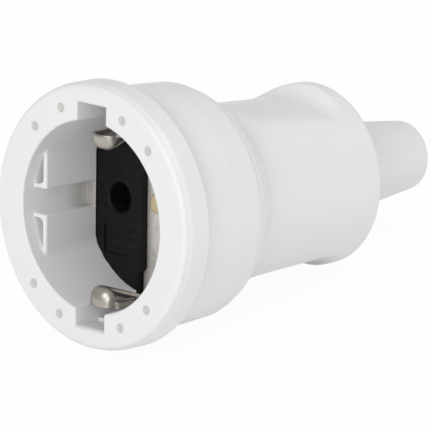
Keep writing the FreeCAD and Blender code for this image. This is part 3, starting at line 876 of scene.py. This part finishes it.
class Piece:
    """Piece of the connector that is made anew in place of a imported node."""

    NAME: str
    NODE: str
    SLOT: Slot

    def build(self, axes: ConnectorAxes) -> bpy.types.Mesh:
        """Makes the mesh on the connector's axes, in the row frame."""
        raise NotImplementedError

    def dress(self, axes: ConnectorAxes, finishes: Mapping[Slot, bpy.types.Material]) -> None:
        """Builds the piece and puts it into the scene with its slot's finish."""
        placed(self.NAME, self.build(axes), finishes[self.SLOT], self.SLOT, [self.NODE])


@dataclass(frozen=True)
class FrontShroud(Piece):
    """White front moulding: collar, bell, plug recess with hollow rails, earth notches and dimples."""

    NAME = "front_moulding"
    NODE = "front_shroud"
    SLOT = Slot.WHITE
    recess_r: float = 19.75
    floor_r: float = 18.9
    depth: float = 17.5
    mouth_round: float = 0.5
    collar_r: float = 27.4
    collar_length: float = 7.0
    front_round: float = 1.1
    band_step: float = 0.3
    band_length: float = 1.1
    collar_rear_round: float = 0.5
    bell_r: float = 24.8
    bell_rear_r: float = 24.3
    bell_taper_x: float = 17.8
    bell_rear_round: float = 1.0
    bell_root_round: float = 0.8
    bore_r: float = 21.6
    rear_x: float = 25.0
    rail_y: float = 16.2
    rail_x: float = 3.2
    rail_z: float = 2.65
    rail_rim: float = 0.9
    rail_front_round: float = 0.6
    rail_edge: float = 0.3
    rail_root_round: float = 0.5
    pocket_depth: float = 8.0
    pocket_round: float = 1.3
    groove_end_x: float = 17.2
    groove_end_round: float = 0.6
    notch_half: float = 4.15
    notch_z: float = 23.0
    notch_step: float = 0.8
    notch_step_x: float = 6.7
    notch_lip: float = 0.4
    notch_lip_run: float = 0.8
    dimple_r: float = 1.05
    dimple_depth: float = 0.35
    dimple_edge: float = 0.12
    lug_x: Span = (22.4, 24.0)
    lug_r: float = 22.3
    lug_half_angle: float = 13.0
    lock_turn: float = 40.0
    edge: float = 0.22
    overrun: float = 1.0
    mesh_pitch: float = 0.3
    mesh_share: float = 0.4

    def _shell(self) -> Field:
        """Turned form of the moulding."""
        band_r = self.collar_r - self.band_step
        return turned_field([
            (0, self.recess_r, self.mouth_round),
            (0, band_r, self.front_round),
            (self.front_round, band_r, 0),
            (self.front_round + self.band_length, self.collar_r, 0),
            (self.collar_length, self.collar_r, self.collar_rear_round),
            (self.collar_length, self.bell_r, self.bell_root_round),
            (self.bell_taper_x, self.bell_r, 0),
            (self.rear_x, self.bell_rear_r, self.bell_rear_round),
            (self.rear_x, self.bore_r, 0),
            (self.depth, self.bore_r, 0),
            (self.depth, self.floor_r, 0),
        ])

    def _rails(self) -> Field:
        """Guide rails, sunk a little into the wall that carries them."""
        block = prism_field([
            (self.rail_x, self.rail_y, self.rail_front_round), (self.depth, self.rail_y, 0),
            (self.depth, self.collar_r, 0), (self.rail_x, self.collar_r, 0),
        ], Along.BACK, Along.LEFT).within(slab(Along.UP, self.rail_z, self.collar_r), self.rail_edge)
        front = self.groove_end_x - self.groove_end_round
        end = prism_field([
            (self.depth, self.rail_y, 0), (self.depth, self.collar_r, 0), (front, self.collar_r, 0),
            (front, self.floor_r, 0), (self.groove_end_x, self.floor_r, self.groove_end_round),
            (self.groove_end_x, self.rail_y, 0),
        ], Along.BACK, Along.LEFT) & slab(Along.UP, -self.rail_z - self.edge, self.rail_z + self.edge)
        rails = block.joined(end, self.edge) & rod_field(self.recess_r + self.edge)
        return rails.folded(Along.LEFT, Along.UP)

    def _pockets(self) -> Field:
        """Hollows in the rails' front ends."""
        inner, low = self.rail_y + self.rail_rim, self.rail_z + self.rail_rim
        block = prism_field([
            (inner, low, self.pocket_round), (self.collar_r, low, 0),
            (self.collar_r, self.collar_r, 0), (inner, self.collar_r, 0),
        ], Along.LEFT, Along.UP) & slab(Along.BACK, -self.edge, self.rail_x + self.pocket_depth)
        draft = (self.recess_r - self.floor_r) / self.depth
        return (block & rod_field(self.recess_r - draft * self.rail_x)).folded(Along.LEFT, Along.UP)

    def _notches(self) -> Field:
        """Stepped earth notches with a lip at the face."""
        step_z, lip_z = self.notch_z - self.notch_step, self.notch_z + self.notch_lip
        side = prism_field([
            (-self.overrun, self.rail_y, 0), (self.depth, self.rail_y, 0), (self.depth, step_z, 0),
            (self.notch_step_x, step_z, 0), (self.notch_step_x, self.notch_z, 0),
            (self.notch_lip_run, self.notch_z, 0), (0, lip_z, 0), (-self.overrun, lip_z, 0),
        ], Along.BACK, Along.UP)
        return (side & slab(Along.LEFT, -self.notch_half, self.notch_half)).folded(Along.UP)

    def _dimples(self) -> Field:
        """Dents in the face, as balls in one quarter and their mirror images."""
        radius = (self.dimple_r ** 2 + self.dimple_depth ** 2) / (2 * self.dimple_depth)
        balls = [ball_field((self.dimple_depth - radius, DIMPLE_CIRCLE_R * math.sin(turn),
                             DIMPLE_CIRCLE_R * math.cos(turn)), radius) for turn in DIMPLE_ANGLES]
        return (balls[0] | balls[1]).folded(Along.LEFT, Along.UP)

    def _bayonet(self) -> Field:
        """L-shaped slots in the rear bore that lock the handle."""
        ring = rod_field(self.lug_r + self.edge) & ~rod_field(self.bore_r - self.overrun)
        low, high = -self.lug_half_angle, self.lock_turn + self.lug_half_angle
        turn = slab(Along.BACK, *self.lug_x) & wedge_field(low, high)
        entry = slab(Along.BACK, self.lug_x[0], self.rear_x + self.overrun)
        slot = (turn | entry & wedge_field(high - 2 * self.lug_half_angle, high)) & ring
        return slot | slot.half_turned()

    def build(self, axes: ConnectorAxes) -> bpy.types.Mesh:
        """Casts the moulding.

        Args:
            axes: The connector's axes.

        Returns:
            Its mesh.
        """
        solid = self._shell().joined(self._rails(), self.rail_root_round)
        solid = solid.cut(self._pockets(), self.edge).cut(self._notches(), self.edge)
        solid = solid.cut(self._dimples(), self.dimple_edge) & ~self._bayonet()
        reach = self.collar_r + CAST_MARGIN
        low, high = (-CAST_MARGIN, -reach, -reach), (self.rear_x + CAST_MARGIN, reach, reach)
        mesh = Casting(solid, low, high, self.mesh_pitch, self.mesh_share).mesh(self.NAME, axes)
        mark_places(mesh, axes)
        return mesh


@dataclass(frozen=True)
class GripHandle(Piece):
    """White hollow handle: bayonet spigot, flared flange, finger flats above and below."""

    NAME = "grip_handle"
    NODE = "handle"
    SLOT = Slot.WHITE
    spigot_x: float = 21.5
    front_x: float = 25.0
    rear_x: float = 64.9
    spigot_r: float = 21.4
    spigot_wall: float = 2.5
    spigot_round: float = 0.3
    flange_r: float = 23.4
    flange_length: float = 1.4
    flange_round: float = 0.45
    flange_front_round: float = 0.2
    flare_run: float = 6.4
    flare_round: float = 1.5
    body_r: float = 18.9
    wall: float = 2.5
    room_round: float = 0.5
    rear_round: float = 1.1
    neck_r: float = 8.7
    grip_edge: float = 13.6
    grip_crown: float = 2.4
    grip_taper_deg: float = 3.4
    grip_x: Span = (37.2, 62.7)
    grip_rounds: Span = (8.0, 6.1)
    grip_ramp_deg: float = 30.0
    pad_x: float = 32.35
    pad_round: float = 0.3
    lug_x: Span = (22.5, 23.9)
    lug_r: float = 22.1
    lug_half_angle: float = 12.0
    edge: float = 0.4
    mesh_pitch: float = 0.34
    mesh_share: float = 0.4

    def _shell(self) -> Field:
        """Turned form of the handle."""
        flange_x = self.front_x + self.flange_length
        room_r = self.body_r - self.wall
        spigot_in = self.spigot_r - self.spigot_wall
        return turned_field([
            (self.spigot_x, self.spigot_r, self.spigot_round),
            (self.front_x, self.spigot_r, 0),
            (self.front_x, self.flange_r, self.flange_front_round),
            (flange_x, self.flange_r, self.flange_round),
            (flange_x + self.flare_run, self.body_r, self.flare_round),
            (self.rear_x, self.body_r, self.rear_round),
            (self.rear_x, self.neck_r, 0),
            (self.rear_x - self.wall, self.neck_r, 0),
            (self.rear_x - self.wall, room_r, self.room_round),
            (flange_x + self.wall + self.flare_run, room_r, 0),
            (flange_x, spigot_in, 0),
            (self.spigot_x, spigot_in, 0),
        ])

    def _grip(self) -> Field:
        """Space of the upper finger flat."""
        start, end = self.grip_x
        floor, top = self.grip_edge + self.grip_crown, 2 * self.body_r
        front_floor = floor + (end - start) * math.tan(math.radians(self.grip_taper_deg))
        ramp = (top - front_floor) / math.tan(math.radians(self.grip_ramp_deg))
        outline = Outline([(start, front_floor, self.grip_rounds[0]), (end, floor, self.grip_rounds[1]),
                           (end, top, 0), (start - ramp, top, 0)])
        width_squared = self.body_r ** 2 - self.grip_edge ** 2
        centre = floor - (width_squared + self.grip_crown ** 2) / (2 * self.grip_crown)
        return Field(lambda p: outline.distance(p[:, 0], np.hypot(p[:, 1], p[:, 2] - centre) + centre))

    def build(self, axes: ConnectorAxes) -> bpy.types.Mesh:
        """Casts the handle.

        Args:
            axes: The connector's axes.

        Returns:
            Its mesh.
        """
        room_flat = self.grip_edge - self.wall
        pad = slab(Along.BACK, self.pad_x, self.rear_x - self.wall / 2)
        pad = pad & rod_field(self.body_r - self.wall / 2) & slab(Along.UP, room_flat, self.body_r)
        lug = slab(Along.BACK, *self.lug_x) & wedge_field(-self.lug_half_angle, self.lug_half_angle)
        lug = lug & rod_field(self.lug_r) & ~rod_field(self.spigot_r - self.spigot_wall / 2)
        solid = self._shell().joined(pad.folded(Along.UP), self.pad_round) | lug | lug.half_turned()
        solid = solid.cut(self._grip().folded(Along.UP), self.edge)
        reach = self.flange_r + CAST_MARGIN
        low, high = (self.spigot_x - CAST_MARGIN, -reach, -reach), (self.rear_x + CAST_MARGIN, reach, reach)
        return Casting(solid, low, high, self.mesh_pitch, self.mesh_share).mesh(self.NAME, axes)


def turned_mesh(name: str, corners: Sequence[Corner], axes: ConnectorAxes,
                steps: int = 160) -> bpy.types.Mesh:
    """Ring-shaped or solid turned piece from its outline.

    Args:
        name: Name of the mesh.
        corners: The outline as (x, radius, rounding), running so that its solid lies to its left.
        axes: The connector's axes.
        steps: Steps of the full turn.

    Returns:
        A closed mesh in the row frame, smooth except at its sharp corners.
    """
    outline = Outline(corners).points
    angles = np.arange(steps) * 2 * math.pi / steps
    rings = np.stack([np.stack([np.full_like(angles, x), r * np.cos(angles), r * np.sin(angles)], 1)
                      for x, r in outline], 1)
    count = len(outline)
    index = np.arange(steps * count).reshape(steps, count)
    ahead = np.roll(index, -1, 0)
    faces = np.stack([index, np.roll(index, -1, 1), np.roll(ahead, -1, 1), ahead], 2).reshape(-1, 4)
    mesh = mesh_from(name, rings.reshape(-1, 3), faces.tolist())
    form = bmesh.new()
    form.from_mesh(mesh)
    bmesh.ops.remove_doubles(form, verts=form.verts, dist=MERGE_MM)
    bmesh.ops.dissolve_degenerate(form, edges=form.edges, dist=DEGENERATE_MM)
    bmesh.ops.recalc_face_normals(form, faces=form.faces)
    form.to_mesh(mesh)
    form.free()
    mesh.transform(axes.matrix)
    mesh.shade_smooth()
    mesh.set_sharp_from_angle(angle=SHARP_ANGLE)
    return mesh


@dataclass(frozen=True)
class CableSleeve(Piece):
    """White tapered nose, held by its neck in the handle's rear wall."""

    NAME = "cable_nose"
    NODE = "cable_sleeve"
    SLOT = Slot.SLEEVE
    inner_x: float = 60.8
    wall_x: float = 62.4
    root_x: float = 64.9
    tip_x: float = 91.42
    bore_r: float = 3.9
    flange_r: float = 10.5
    neck_r: float = 8.6
    root_r: float = 10.2
    tip_r: float = 7.0
    tip_round: float = 2.1
    mouth_round: float = 0.38
    edge: float = 0.15

    def build(self, axes: ConnectorAxes) -> bpy.types.Mesh:
        """Turns the sleeve.

        Args:
            axes: The connector's axes.

        Returns:
            Its mesh.
        """
        return turned_mesh(self.NAME, [
            (self.inner_x, self.bore_r, self.edge),
            (self.inner_x, self.flange_r, self.edge),
            (self.wall_x, self.flange_r, self.edge),
            (self.wall_x, self.neck_r, 0),
            (self.root_x, self.neck_r, 0),
            (self.root_x, self.root_r, self.edge),
            (self.tip_x, self.tip_r, self.tip_round),
            (self.tip_x, self.bore_r, self.mouth_round),
        ], axes)


@dataclass(frozen=True)
class EarthClips(Piece):
    """Plated bracket: a strap in the carrier's channel, with a channelled spring arm at each end."""

    NAME = "earth_clips"
    NODE = "earth_bracket"
    SLOT = Slot.NICKEL
    sheet: float = 0.8
    strap_x: Span = (19.17, 19.97)
    strap_half: float = 3.2
    strap_z: float = 20.1
    root_z: float = 19.8
    crest_x: float = 4.6
    upper_head: Span = (13.55, 3.3)
    lower_head: Span = (14.75, 4.1)
    crest_round: float = 5.0
    tip_x: float = 1.3
    tip_round: float = 3.0
    nose_round: float = 2.9
    head_half: float = 3.1
    root_half: float = 2.9
    fold_round: float = 2.0
    waist_x: Span = (5.0, 6.8)
    waist_round: float = 0.8
    skirt_round: float = 1.5
    neck_skirt: float = 3.3
    root_skirt: float = 1.0
    tab_x: Span = (4.4, 10.4)
    tab_y: Span = (-3.95, -3.0)
    tab_z: Span = (2.8, 4.3)
    tab_round: float = 0.3
    flare_z: Span = (13.8, 14.6)
    flare_half: float = 4.1
    flare_round: float = 0.5
    corner_round: float = 0.3
    arm_round: float = 0.4
    hole_r: float = 1.6
    edge: float = 0.16
    overrun: float = 1.0
    cast_front: float = 0.5
    cast_half: float = 4.6
    cast_margins: Span = (0.6, 1.6)
    mesh_pitch: float = 0.15
    mesh_share: float = 0.6

    def _channel(self, crest: float, depth: float) -> Field:
        """Channelled sheet of the upper arm, open on its outer side, with a round closed head.

        Args:
            crest: Height of the head's crest above the axis.
            depth: How far the head's sides reach out from its crest.

        Returns:
            The channel.
        """
        end, far = self.strap_x[1], 2 * self.strap_z
        plan = prism_field([
            (self.tip_x, -self.head_half, self.tip_round), (end, -self.root_half, 0),
            (end, self.root_half, 0), (self.tip_x, self.head_half, self.tip_round),
        ], Along.BACK, Along.LEFT)
        side = prism_field([
            (self.tip_x, far, 0), (self.tip_x, crest, self.nose_round),
            (self.crest_x, crest, self.crest_round), (end, self.root_z, 0), (end, far, 0),
        ], Along.BACK, Along.UP)
        form = plan.within(side, self.fold_round)
        skirt = prism_field([
            (self.tip_x, 0.0, 0), (self.tip_x, crest + depth, self.skirt_round),
            (self.waist_x[0], crest + depth, self.waist_round),
            (self.waist_x[1], crest + self.neck_skirt, self.waist_round),
            (end + self.overrun, self.root_z + self.root_skirt, 0), (end + self.overrun, 0.0, 0),
        ], Along.BACK, Along.UP)
        sheet = Field(lambda p: np.abs(form.distance(p) + self.sheet / 2) - self.sheet / 2)
        return sheet.within(skirt, self.edge) & slab(Along.BACK, 0.0, end)

    def _arm(self, crest: float, depth: float) -> Field:
        """Upper spring arm.

        Args:
            crest: Height of the head's crest above the axis.
            depth: How far the head's sides reach out from its crest.

        Returns:
            Channel and tab as one.
        """
        tab = slab(Along.BACK, *self.tab_x).within(slab(Along.LEFT, *self.tab_y), self.edge)
        tab = tab.within(slab(Along.UP, crest + self.tab_z[0], crest + self.tab_z[1]), self.edge)
        return self._channel(crest, depth).joined(tab, self.tab_round)

    def _strap(self) -> Field:
        """Strap with flared ends and a hole for the rivet."""
        right = [(self.strap_half, 0, 0), (self.strap_half, self.flare_z[0], self.flare_round),
                 (self.flare_half, self.flare_z[1], self.flare_round),
                 (self.flare_half, self.strap_z, self.corner_round)]
        left = [(-y, z, rounding) for y, z, rounding in right]
        half = prism_field([left[0], *right, *left[:0:-1]], Along.LEFT, Along.UP).folded(Along.UP)
        return slab(Along.BACK, *self.strap_x).within(half, self.edge) & ~rod_field(self.hole_r)

    def build(self, axes: ConnectorAxes) -> bpy.types.Mesh:
        """Casts the bracket.

        Args:
            axes: The connector's axes.

        Returns:
            Its mesh.
        """
        solid = self._strap().joined(self._arm(*self.upper_head), self.arm_round)
        solid = solid.joined(self._arm(*self.lower_head).flipped(), self.arm_round)
        end, reach = self.strap_x[1] + self.cast_margins[0], self.strap_z + self.cast_margins[1]
        low, high = (self.cast_front, -self.cast_half, -reach), (end, self.cast_half, reach)
        mesh = Casting(solid, low, high, self.mesh_pitch, self.mesh_share).mesh(self.NAME, axes)
        mark_places(mesh, axes)
        return mesh


class ScrewTree:
    """Geometry node tree that sets a slotted cheese-head screw on every point of a mesh."""

    SIZES = ("Thread Radius", "Head Radius", "Head Height", "Tip", "Seat",
             "Slot Width", "Slot Depth", "Pitch")
    CHAMFER_SHARE = 0.12
    ROOT_SHARE = 0.5
    RIDGE_SHARE = 0.45
    CUTTER_SHARE = 3.0
    ROUND_STEPS = 48
    TURN_STEPS = 24
    RIDGE_SIDES = 4
    OVERLAP = 0.1

    def __init__(self) -> None:
        """Builds the tree; heights are measured from each point, along z."""
        self.tree = bpy.data.node_groups.new("slotted_screws", "GeometryNodeTree")
        face = self.tree.interface
        face.new_socket("Sites", in_out="INPUT", socket_type="NodeSocketGeometry")
        for name in self.SIZES:
            face.new_socket(name, in_out="INPUT", socket_type="NodeSocketFloat")
        face.new_socket("Finish", in_out="INPUT", socket_type="NodeSocketMaterial")
        face.new_socket("Screws", in_out="OUTPUT", socket_type="NodeSocketGeometry")
        self.graph = NodeGraph(self.tree)
        given = self.graph.node("NodeGroupInput")
        self.given = {socket.name: Signal(self.graph, socket) for socket in given.outputs if socket.name}
        screw = self.graph.out("GeometryNodeJoinGeometry", None,
                               {"Geometry": [self._blank(), self._thread()]})
        row = self.graph.out("GeometryNodeInstanceOnPoints", None,
                             {"Points": self.given["Sites"], "Instance": screw})
        plain = self.graph.out("GeometryNodeRealizeInstances", None, {"Geometry": row})
        done = self.graph.out("GeometryNodeSetMaterial", None,
                              {"Geometry": plain, "Material": self.given["Finish"]})
        self.graph.node("NodeGroupOutput", None, {"Screws": done})

    def _at(self, shape: Signal, height: Any) -> Signal:
        """A shape moved up along z."""
        lift = self.graph.out("ShaderNodeCombineXYZ", None, {"Z": height})
        return self.graph.out("GeometryNodeTransform", None, {"Geometry": shape, "Translation": lift})

    def _rod(self, radius: Any, low: Any, high: Any) -> Signal:
        """Upright cylinder between two heights."""
        shape = self.graph.out("GeometryNodeMeshCylinder", None,
                               {"Vertices": self.ROUND_STEPS, "Radius": radius, "Depth": high - low}, "Mesh")
        return self._at(shape, (high + low) * 0.5)

    def _blank(self) -> Signal:
        """Core and chamfered head with its driver slot."""
        given, graph = self.given, self.graph
        bevel = given["Head Height"] * self.CHAMFER_SHARE
        top = given["Seat"] + given["Head Height"]
        core = self._rod(self._root(), given["Tip"], given["Seat"] + self.OVERLAP)
        head = self._rod(given["Head Radius"], given["Seat"], top - bevel)
        cone = graph.out("GeometryNodeMeshCone", None, {
            "Vertices": self.ROUND_STEPS, "Radius Top": given["Head Radius"] - bevel,
            "Radius Bottom": given["Head Radius"], "Depth": bevel}, "Mesh")
        solid = graph.out("GeometryNodeMeshBoolean", {"operation": "UNION"},
                          {"Mesh 2": [core, head, self._at(cone, top - bevel)]}, "Mesh")
        size = graph.out("ShaderNodeCombineXYZ", None, {
            "X": given["Head Radius"] * self.CUTTER_SHARE, "Y": given["Slot Width"],
            "Z": given["Slot Depth"] * 2.0})
        cutter = graph.out("GeometryNodeMeshCube", None, {"Size": size}, "Mesh")
        return graph.out("GeometryNodeMeshBoolean", {"operation": "DIFFERENCE"},
                         {"Mesh 1": solid, "Mesh 2": [self._at(cutter, top)]}, "Mesh")

    def _root(self) -> Signal:
        """Radius at the thread's root."""
        return self.given["Thread Radius"] - self.given["Pitch"] * self.ROOT_SHARE

    def _thread(self) -> Signal:
        """Triangular ridge wound round the core."""
        given, graph, root = self.given, self.graph, self._root()
        run = given["Seat"] - given["Tip"] - given["Pitch"]
        path = graph.out("GeometryNodeCurveSpiral", None, {
            "Resolution": self.TURN_STEPS, "Rotations": run / given["Pitch"],
            "Start Radius": root, "End Radius": root, "Height": run})
        ridge = graph.out("GeometryNodeCurvePrimitiveCircle", None, {
            "Resolution": self.RIDGE_SIDES, "Radius": given["Pitch"] * self.RIDGE_SHARE}, "Curve")
        wound = graph.out("GeometryNodeCurveToMesh", None,
                          {"Curve": path, "Profile Curve": ridge, "Fill Caps": True})
        return self._at(wound, given["Tip"] + given["Pitch"] * 0.5)


@dataclass(frozen=True)
class SlottedScrews:
    """A set of slotted cheese-head screws with upright axes."""

    name: str
    node: str
    sites: tuple[Triple, ...]
    tip: float
    seat: float
    thread_r: float
    head_r: float
    head_height: float = 1.8
    slot_width: float = 0.7
    slot_depth: float = 0.9
    pitch: float = 0.5

    def build(self, axes: ConnectorAxes, tree: ScrewTree, finish: bpy.types.Material) -> bpy.types.Mesh:
        """Runs the node tree on the screws' sites.

        Args:
            axes: The connector's axes.
            tree: The node tree of the screws.
            finish: Their material.

        Returns:
            All screws of the set as one plain mesh.
        """
        holder = linked(self.name, mesh_from(self.name, self.sites, []))
        modifier = holder.modifiers.new("screws", "NODES")
        modifier.node_group = tree.tree
        sizes = (self.thread_r, self.head_r, self.head_height, self.tip, self.seat,
                 self.slot_width, self.slot_depth, self.pitch)
        values = dict(zip(tree.SIZES, sizes), Finish=finish)
        for item in tree.tree.interface.items_tree:
            if item.in_out == "INPUT" and item.name in values:
                modifier[item.identifier] = values[item.name]
        mesh = evaluated_mesh(holder)
        mesh.transform(axes.matrix)
        mesh.shade_smooth()
        mesh.set_sharp_from_angle(angle=SHARP_ANGLE)
        return mesh

    def dress(self, axes: ConnectorAxes, tree: ScrewTree, finish: bpy.types.Material) -> None:
        """Builds the screws and gives them their finish."""
        placed(self.name, self.build(axes, tree, finish), finish, Slot.ZINC, [self.node])


SCREW_SETS = (
    SlottedScrews("pole_screws", "pole_terminal_screws", ((42.45, 9.5, 3.05), (42.45, -9.5, 3.05)),
                  tip=-1.6, seat=0.8, thread_r=1.5, head_r=2.625),
    SlottedScrews("earth_screw", "earth_terminal_screw", ((26.35, 0.0, 3.6),),
                  tip=-1.6, seat=0.8, thread_r=1.75, head_r=3.0625),
    SlottedScrews("clamp_screws", "cord_clamp_screws", ((54.05, 8.0, 0.0), (54.05, -8.0, 0.0)),
                  tip=-6.2, seat=6.4, thread_r=1.5, head_r=2.625),
)


@dataclass(frozen=True)
class PhotoCamera:
    """Camera solved from the photograph, on the connector's axes."""

    place: Triple = (-1348.10, -1390.14, 430.63)
    right: Triple = (0.71049, -0.70362, 0.01118)
    down: Triple = (-0.14473, -0.16165, -0.97618)
    focal_px: float = 9860.0
    frame_px: float = 430.0
    sensor_mm: float = 36.0
    clip: Span = (0.05, 60.0)

    def build(self, axes: ConnectorAxes) -> None:
        """Sets up the scene's camera.

        Args:
            axes: The connector's axes.
        """
        data = bpy.data.cameras.new("photo_camera")
        data.sensor_width = self.sensor_mm
        data.lens = self.focal_px / self.frame_px * self.sensor_mm
        data.clip_start, data.clip_end = self.clip
        camera = linked("photo_camera", data)
        across = axes.direction(self.right)
        upward = -axes.direction(self.down)
        upward = (upward - across * upward.dot(across)).normalized()
        turn = Matrix((across, upward, across.cross(upward))).transposed()
        camera.matrix_world = Matrix.Translation(axes.point(self.place)) @ turn.to_4x4()
        bpy.context.scene.camera = camera


@dataclass(frozen=True)
class Softbox:
    """Large soft lamp that looks at the object."""

    name: str
    place: Triple
    size: float
    watts: float

    def build(self, target: Vector) -> None:
        """Hangs the lamp.

        Args:
            target: The point that it faces.
        """
        data = bpy.data.lights.new(self.name, "AREA")
        data.shape = "DISK"
        data.size = self.size
        data.energy = self.watts
        lamp = linked(self.name, data)
        lamp.location = Vector(self.place)
        lamp.rotation_mode = "QUATERNION"
        lamp.rotation_quaternion = (target - lamp.location).to_track_quat("-Z", "Y")


@dataclass(frozen=True)
class Studio:
    """Pale floor, even surrounding light and soft lamps."""

    floor_half: float = 12.0
    floor_colour: Triple = (0.92, 0.92, 0.92)
    lift: float = 0.95
    surround: float = 0.57
    lamps: tuple[Softbox, ...] = (
        Softbox("key_lamp", (-1.1, -0.2, 0.8), 0.8, 4.5),
        Softbox("top_lamp", (0.5, -0.7, 1.0), 0.8, 2.9),
        Softbox("fill_lamp", (-1.0, -0.8, 0.3), 0.7, 3.0),
    )

    def _floor_finish(self) -> bpy.types.Material:
        """Pale floor that the camera and mirror reflections see lifted towards white."""
        graph = FinishGraph("pale_floor")
        path = graph.node("ShaderNodeLightPath")
        seen = [Signal(graph, path.outputs[name]) for name in
                ("Is Camera Ray", "Is Glossy Ray", "Is Transmission Ray")]
        white = graph.out("ShaderNodeEmission", None, {"Color": rgba(WHITE), "Strength": 1.0})
        matt = graph.out("ShaderNodeBsdfDiffuse", None, {"Color": rgba(self.floor_colour)})
        share = (seen[0] + seen[1] + seen[2]) * self.lift
        mixed = graph.out("ShaderNodeMixShader", None, {0: share, 1: matt, 2: white})
        graph.node("ShaderNodeOutputMaterial", None, {"Surface": mixed})
        return graph.material

    def build(self, target: Vector) -> None:
        """Sets up floor, light and view transform.

        Args:
            target: The point that the lamps face.
        """
        half = self.floor_half
        corners = [(-half, -half, 0), (half, -half, 0), (half, half, 0), (-half, half, 0)]
        mesh = mesh_from("floor", corners, [(0, 1, 2, 3)])
        mesh.materials.append(self._floor_finish())
        floor = linked("floor", mesh)
        floor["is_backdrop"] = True
        for lamp in self.lamps:
            lamp.build(target)
        world = bpy.data.worlds.new("surround")
        bpy.context.scene.world = world
        world.use_nodes = True
        graph = NodeGraph(world.node_tree)
        light = graph.out("ShaderNodeBackground", None, {"Color": rgba(WHITE), "Strength": self.surround})
        graph.node("ShaderNodeOutputWorld", None, {"Surface": light})
        bpy.context.scene.view_settings.view_transform = "Standard"


def dress_packed_nodes(nodes: Mapping[str, bpy.types.Object], finishes: Mapping[Slot, bpy.types.Material],
                       record: Mapping[str, Any]) -> None:
    """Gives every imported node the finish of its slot.

    Args:
        nodes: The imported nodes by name.
        finishes: The material of each slot.
        record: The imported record.
    """
    for part in record["subparts"]:
        node = nodes[part["node"]]
        node.data.materials.clear()
        node.data.materials.append(finishes[Slot(part["material_slot"])])
        LOG.info("%s keeps its solid, finished as %s", part["node"], part["material_slot"])


def main() -> None:
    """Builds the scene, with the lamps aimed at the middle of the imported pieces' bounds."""
    logging.basicConfig(level=logging.INFO, format="%(message)s")
    packed_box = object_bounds()
    axes = ConnectorAxes.from_record(frame["record"])
    finishes = {
        Slot.WHITE: MouldedWhite("white_moulding").material(),
        Slot.SLEEVE: MouldedWhite("white_sleeve", roughness=0.4).material(),
        Slot.BLACK: SparkedBlack("black_moulding").material(),
        Slot.NICKEL: PlatedMetal("nickel_plate", (0.45, 0.42, 0.38), (0.34, 0.3, 0.25), 0.34).material(),
        Slot.BRASS: PlatedMetal("bare_brass", (0.74, 0.61, 0.39), (0.42, 0.3, 0.16), 0.28).material(),
        Slot.ZINC: PlatedMetal("zinc_plate", (0.6, 0.61, 0.63), (0.4, 0.4, 0.4), 0.32).material(),
    }
    dress_packed_nodes(frame["nodes"], finishes, frame["record"])
    for piece in (FrontShroud(), GripHandle(), CableSleeve(), EarthClips()):
        piece.dress(axes, finishes)
    screw_tree = ScrewTree()
    for screws in SCREW_SETS:
        screws.dress(axes, screw_tree, finishes[Slot.ZINC])
    PhotoCamera().build(axes)
    Studio().build((packed_box[0] + packed_box[1]) / 2)


if __name__ == "__main__":
    main()
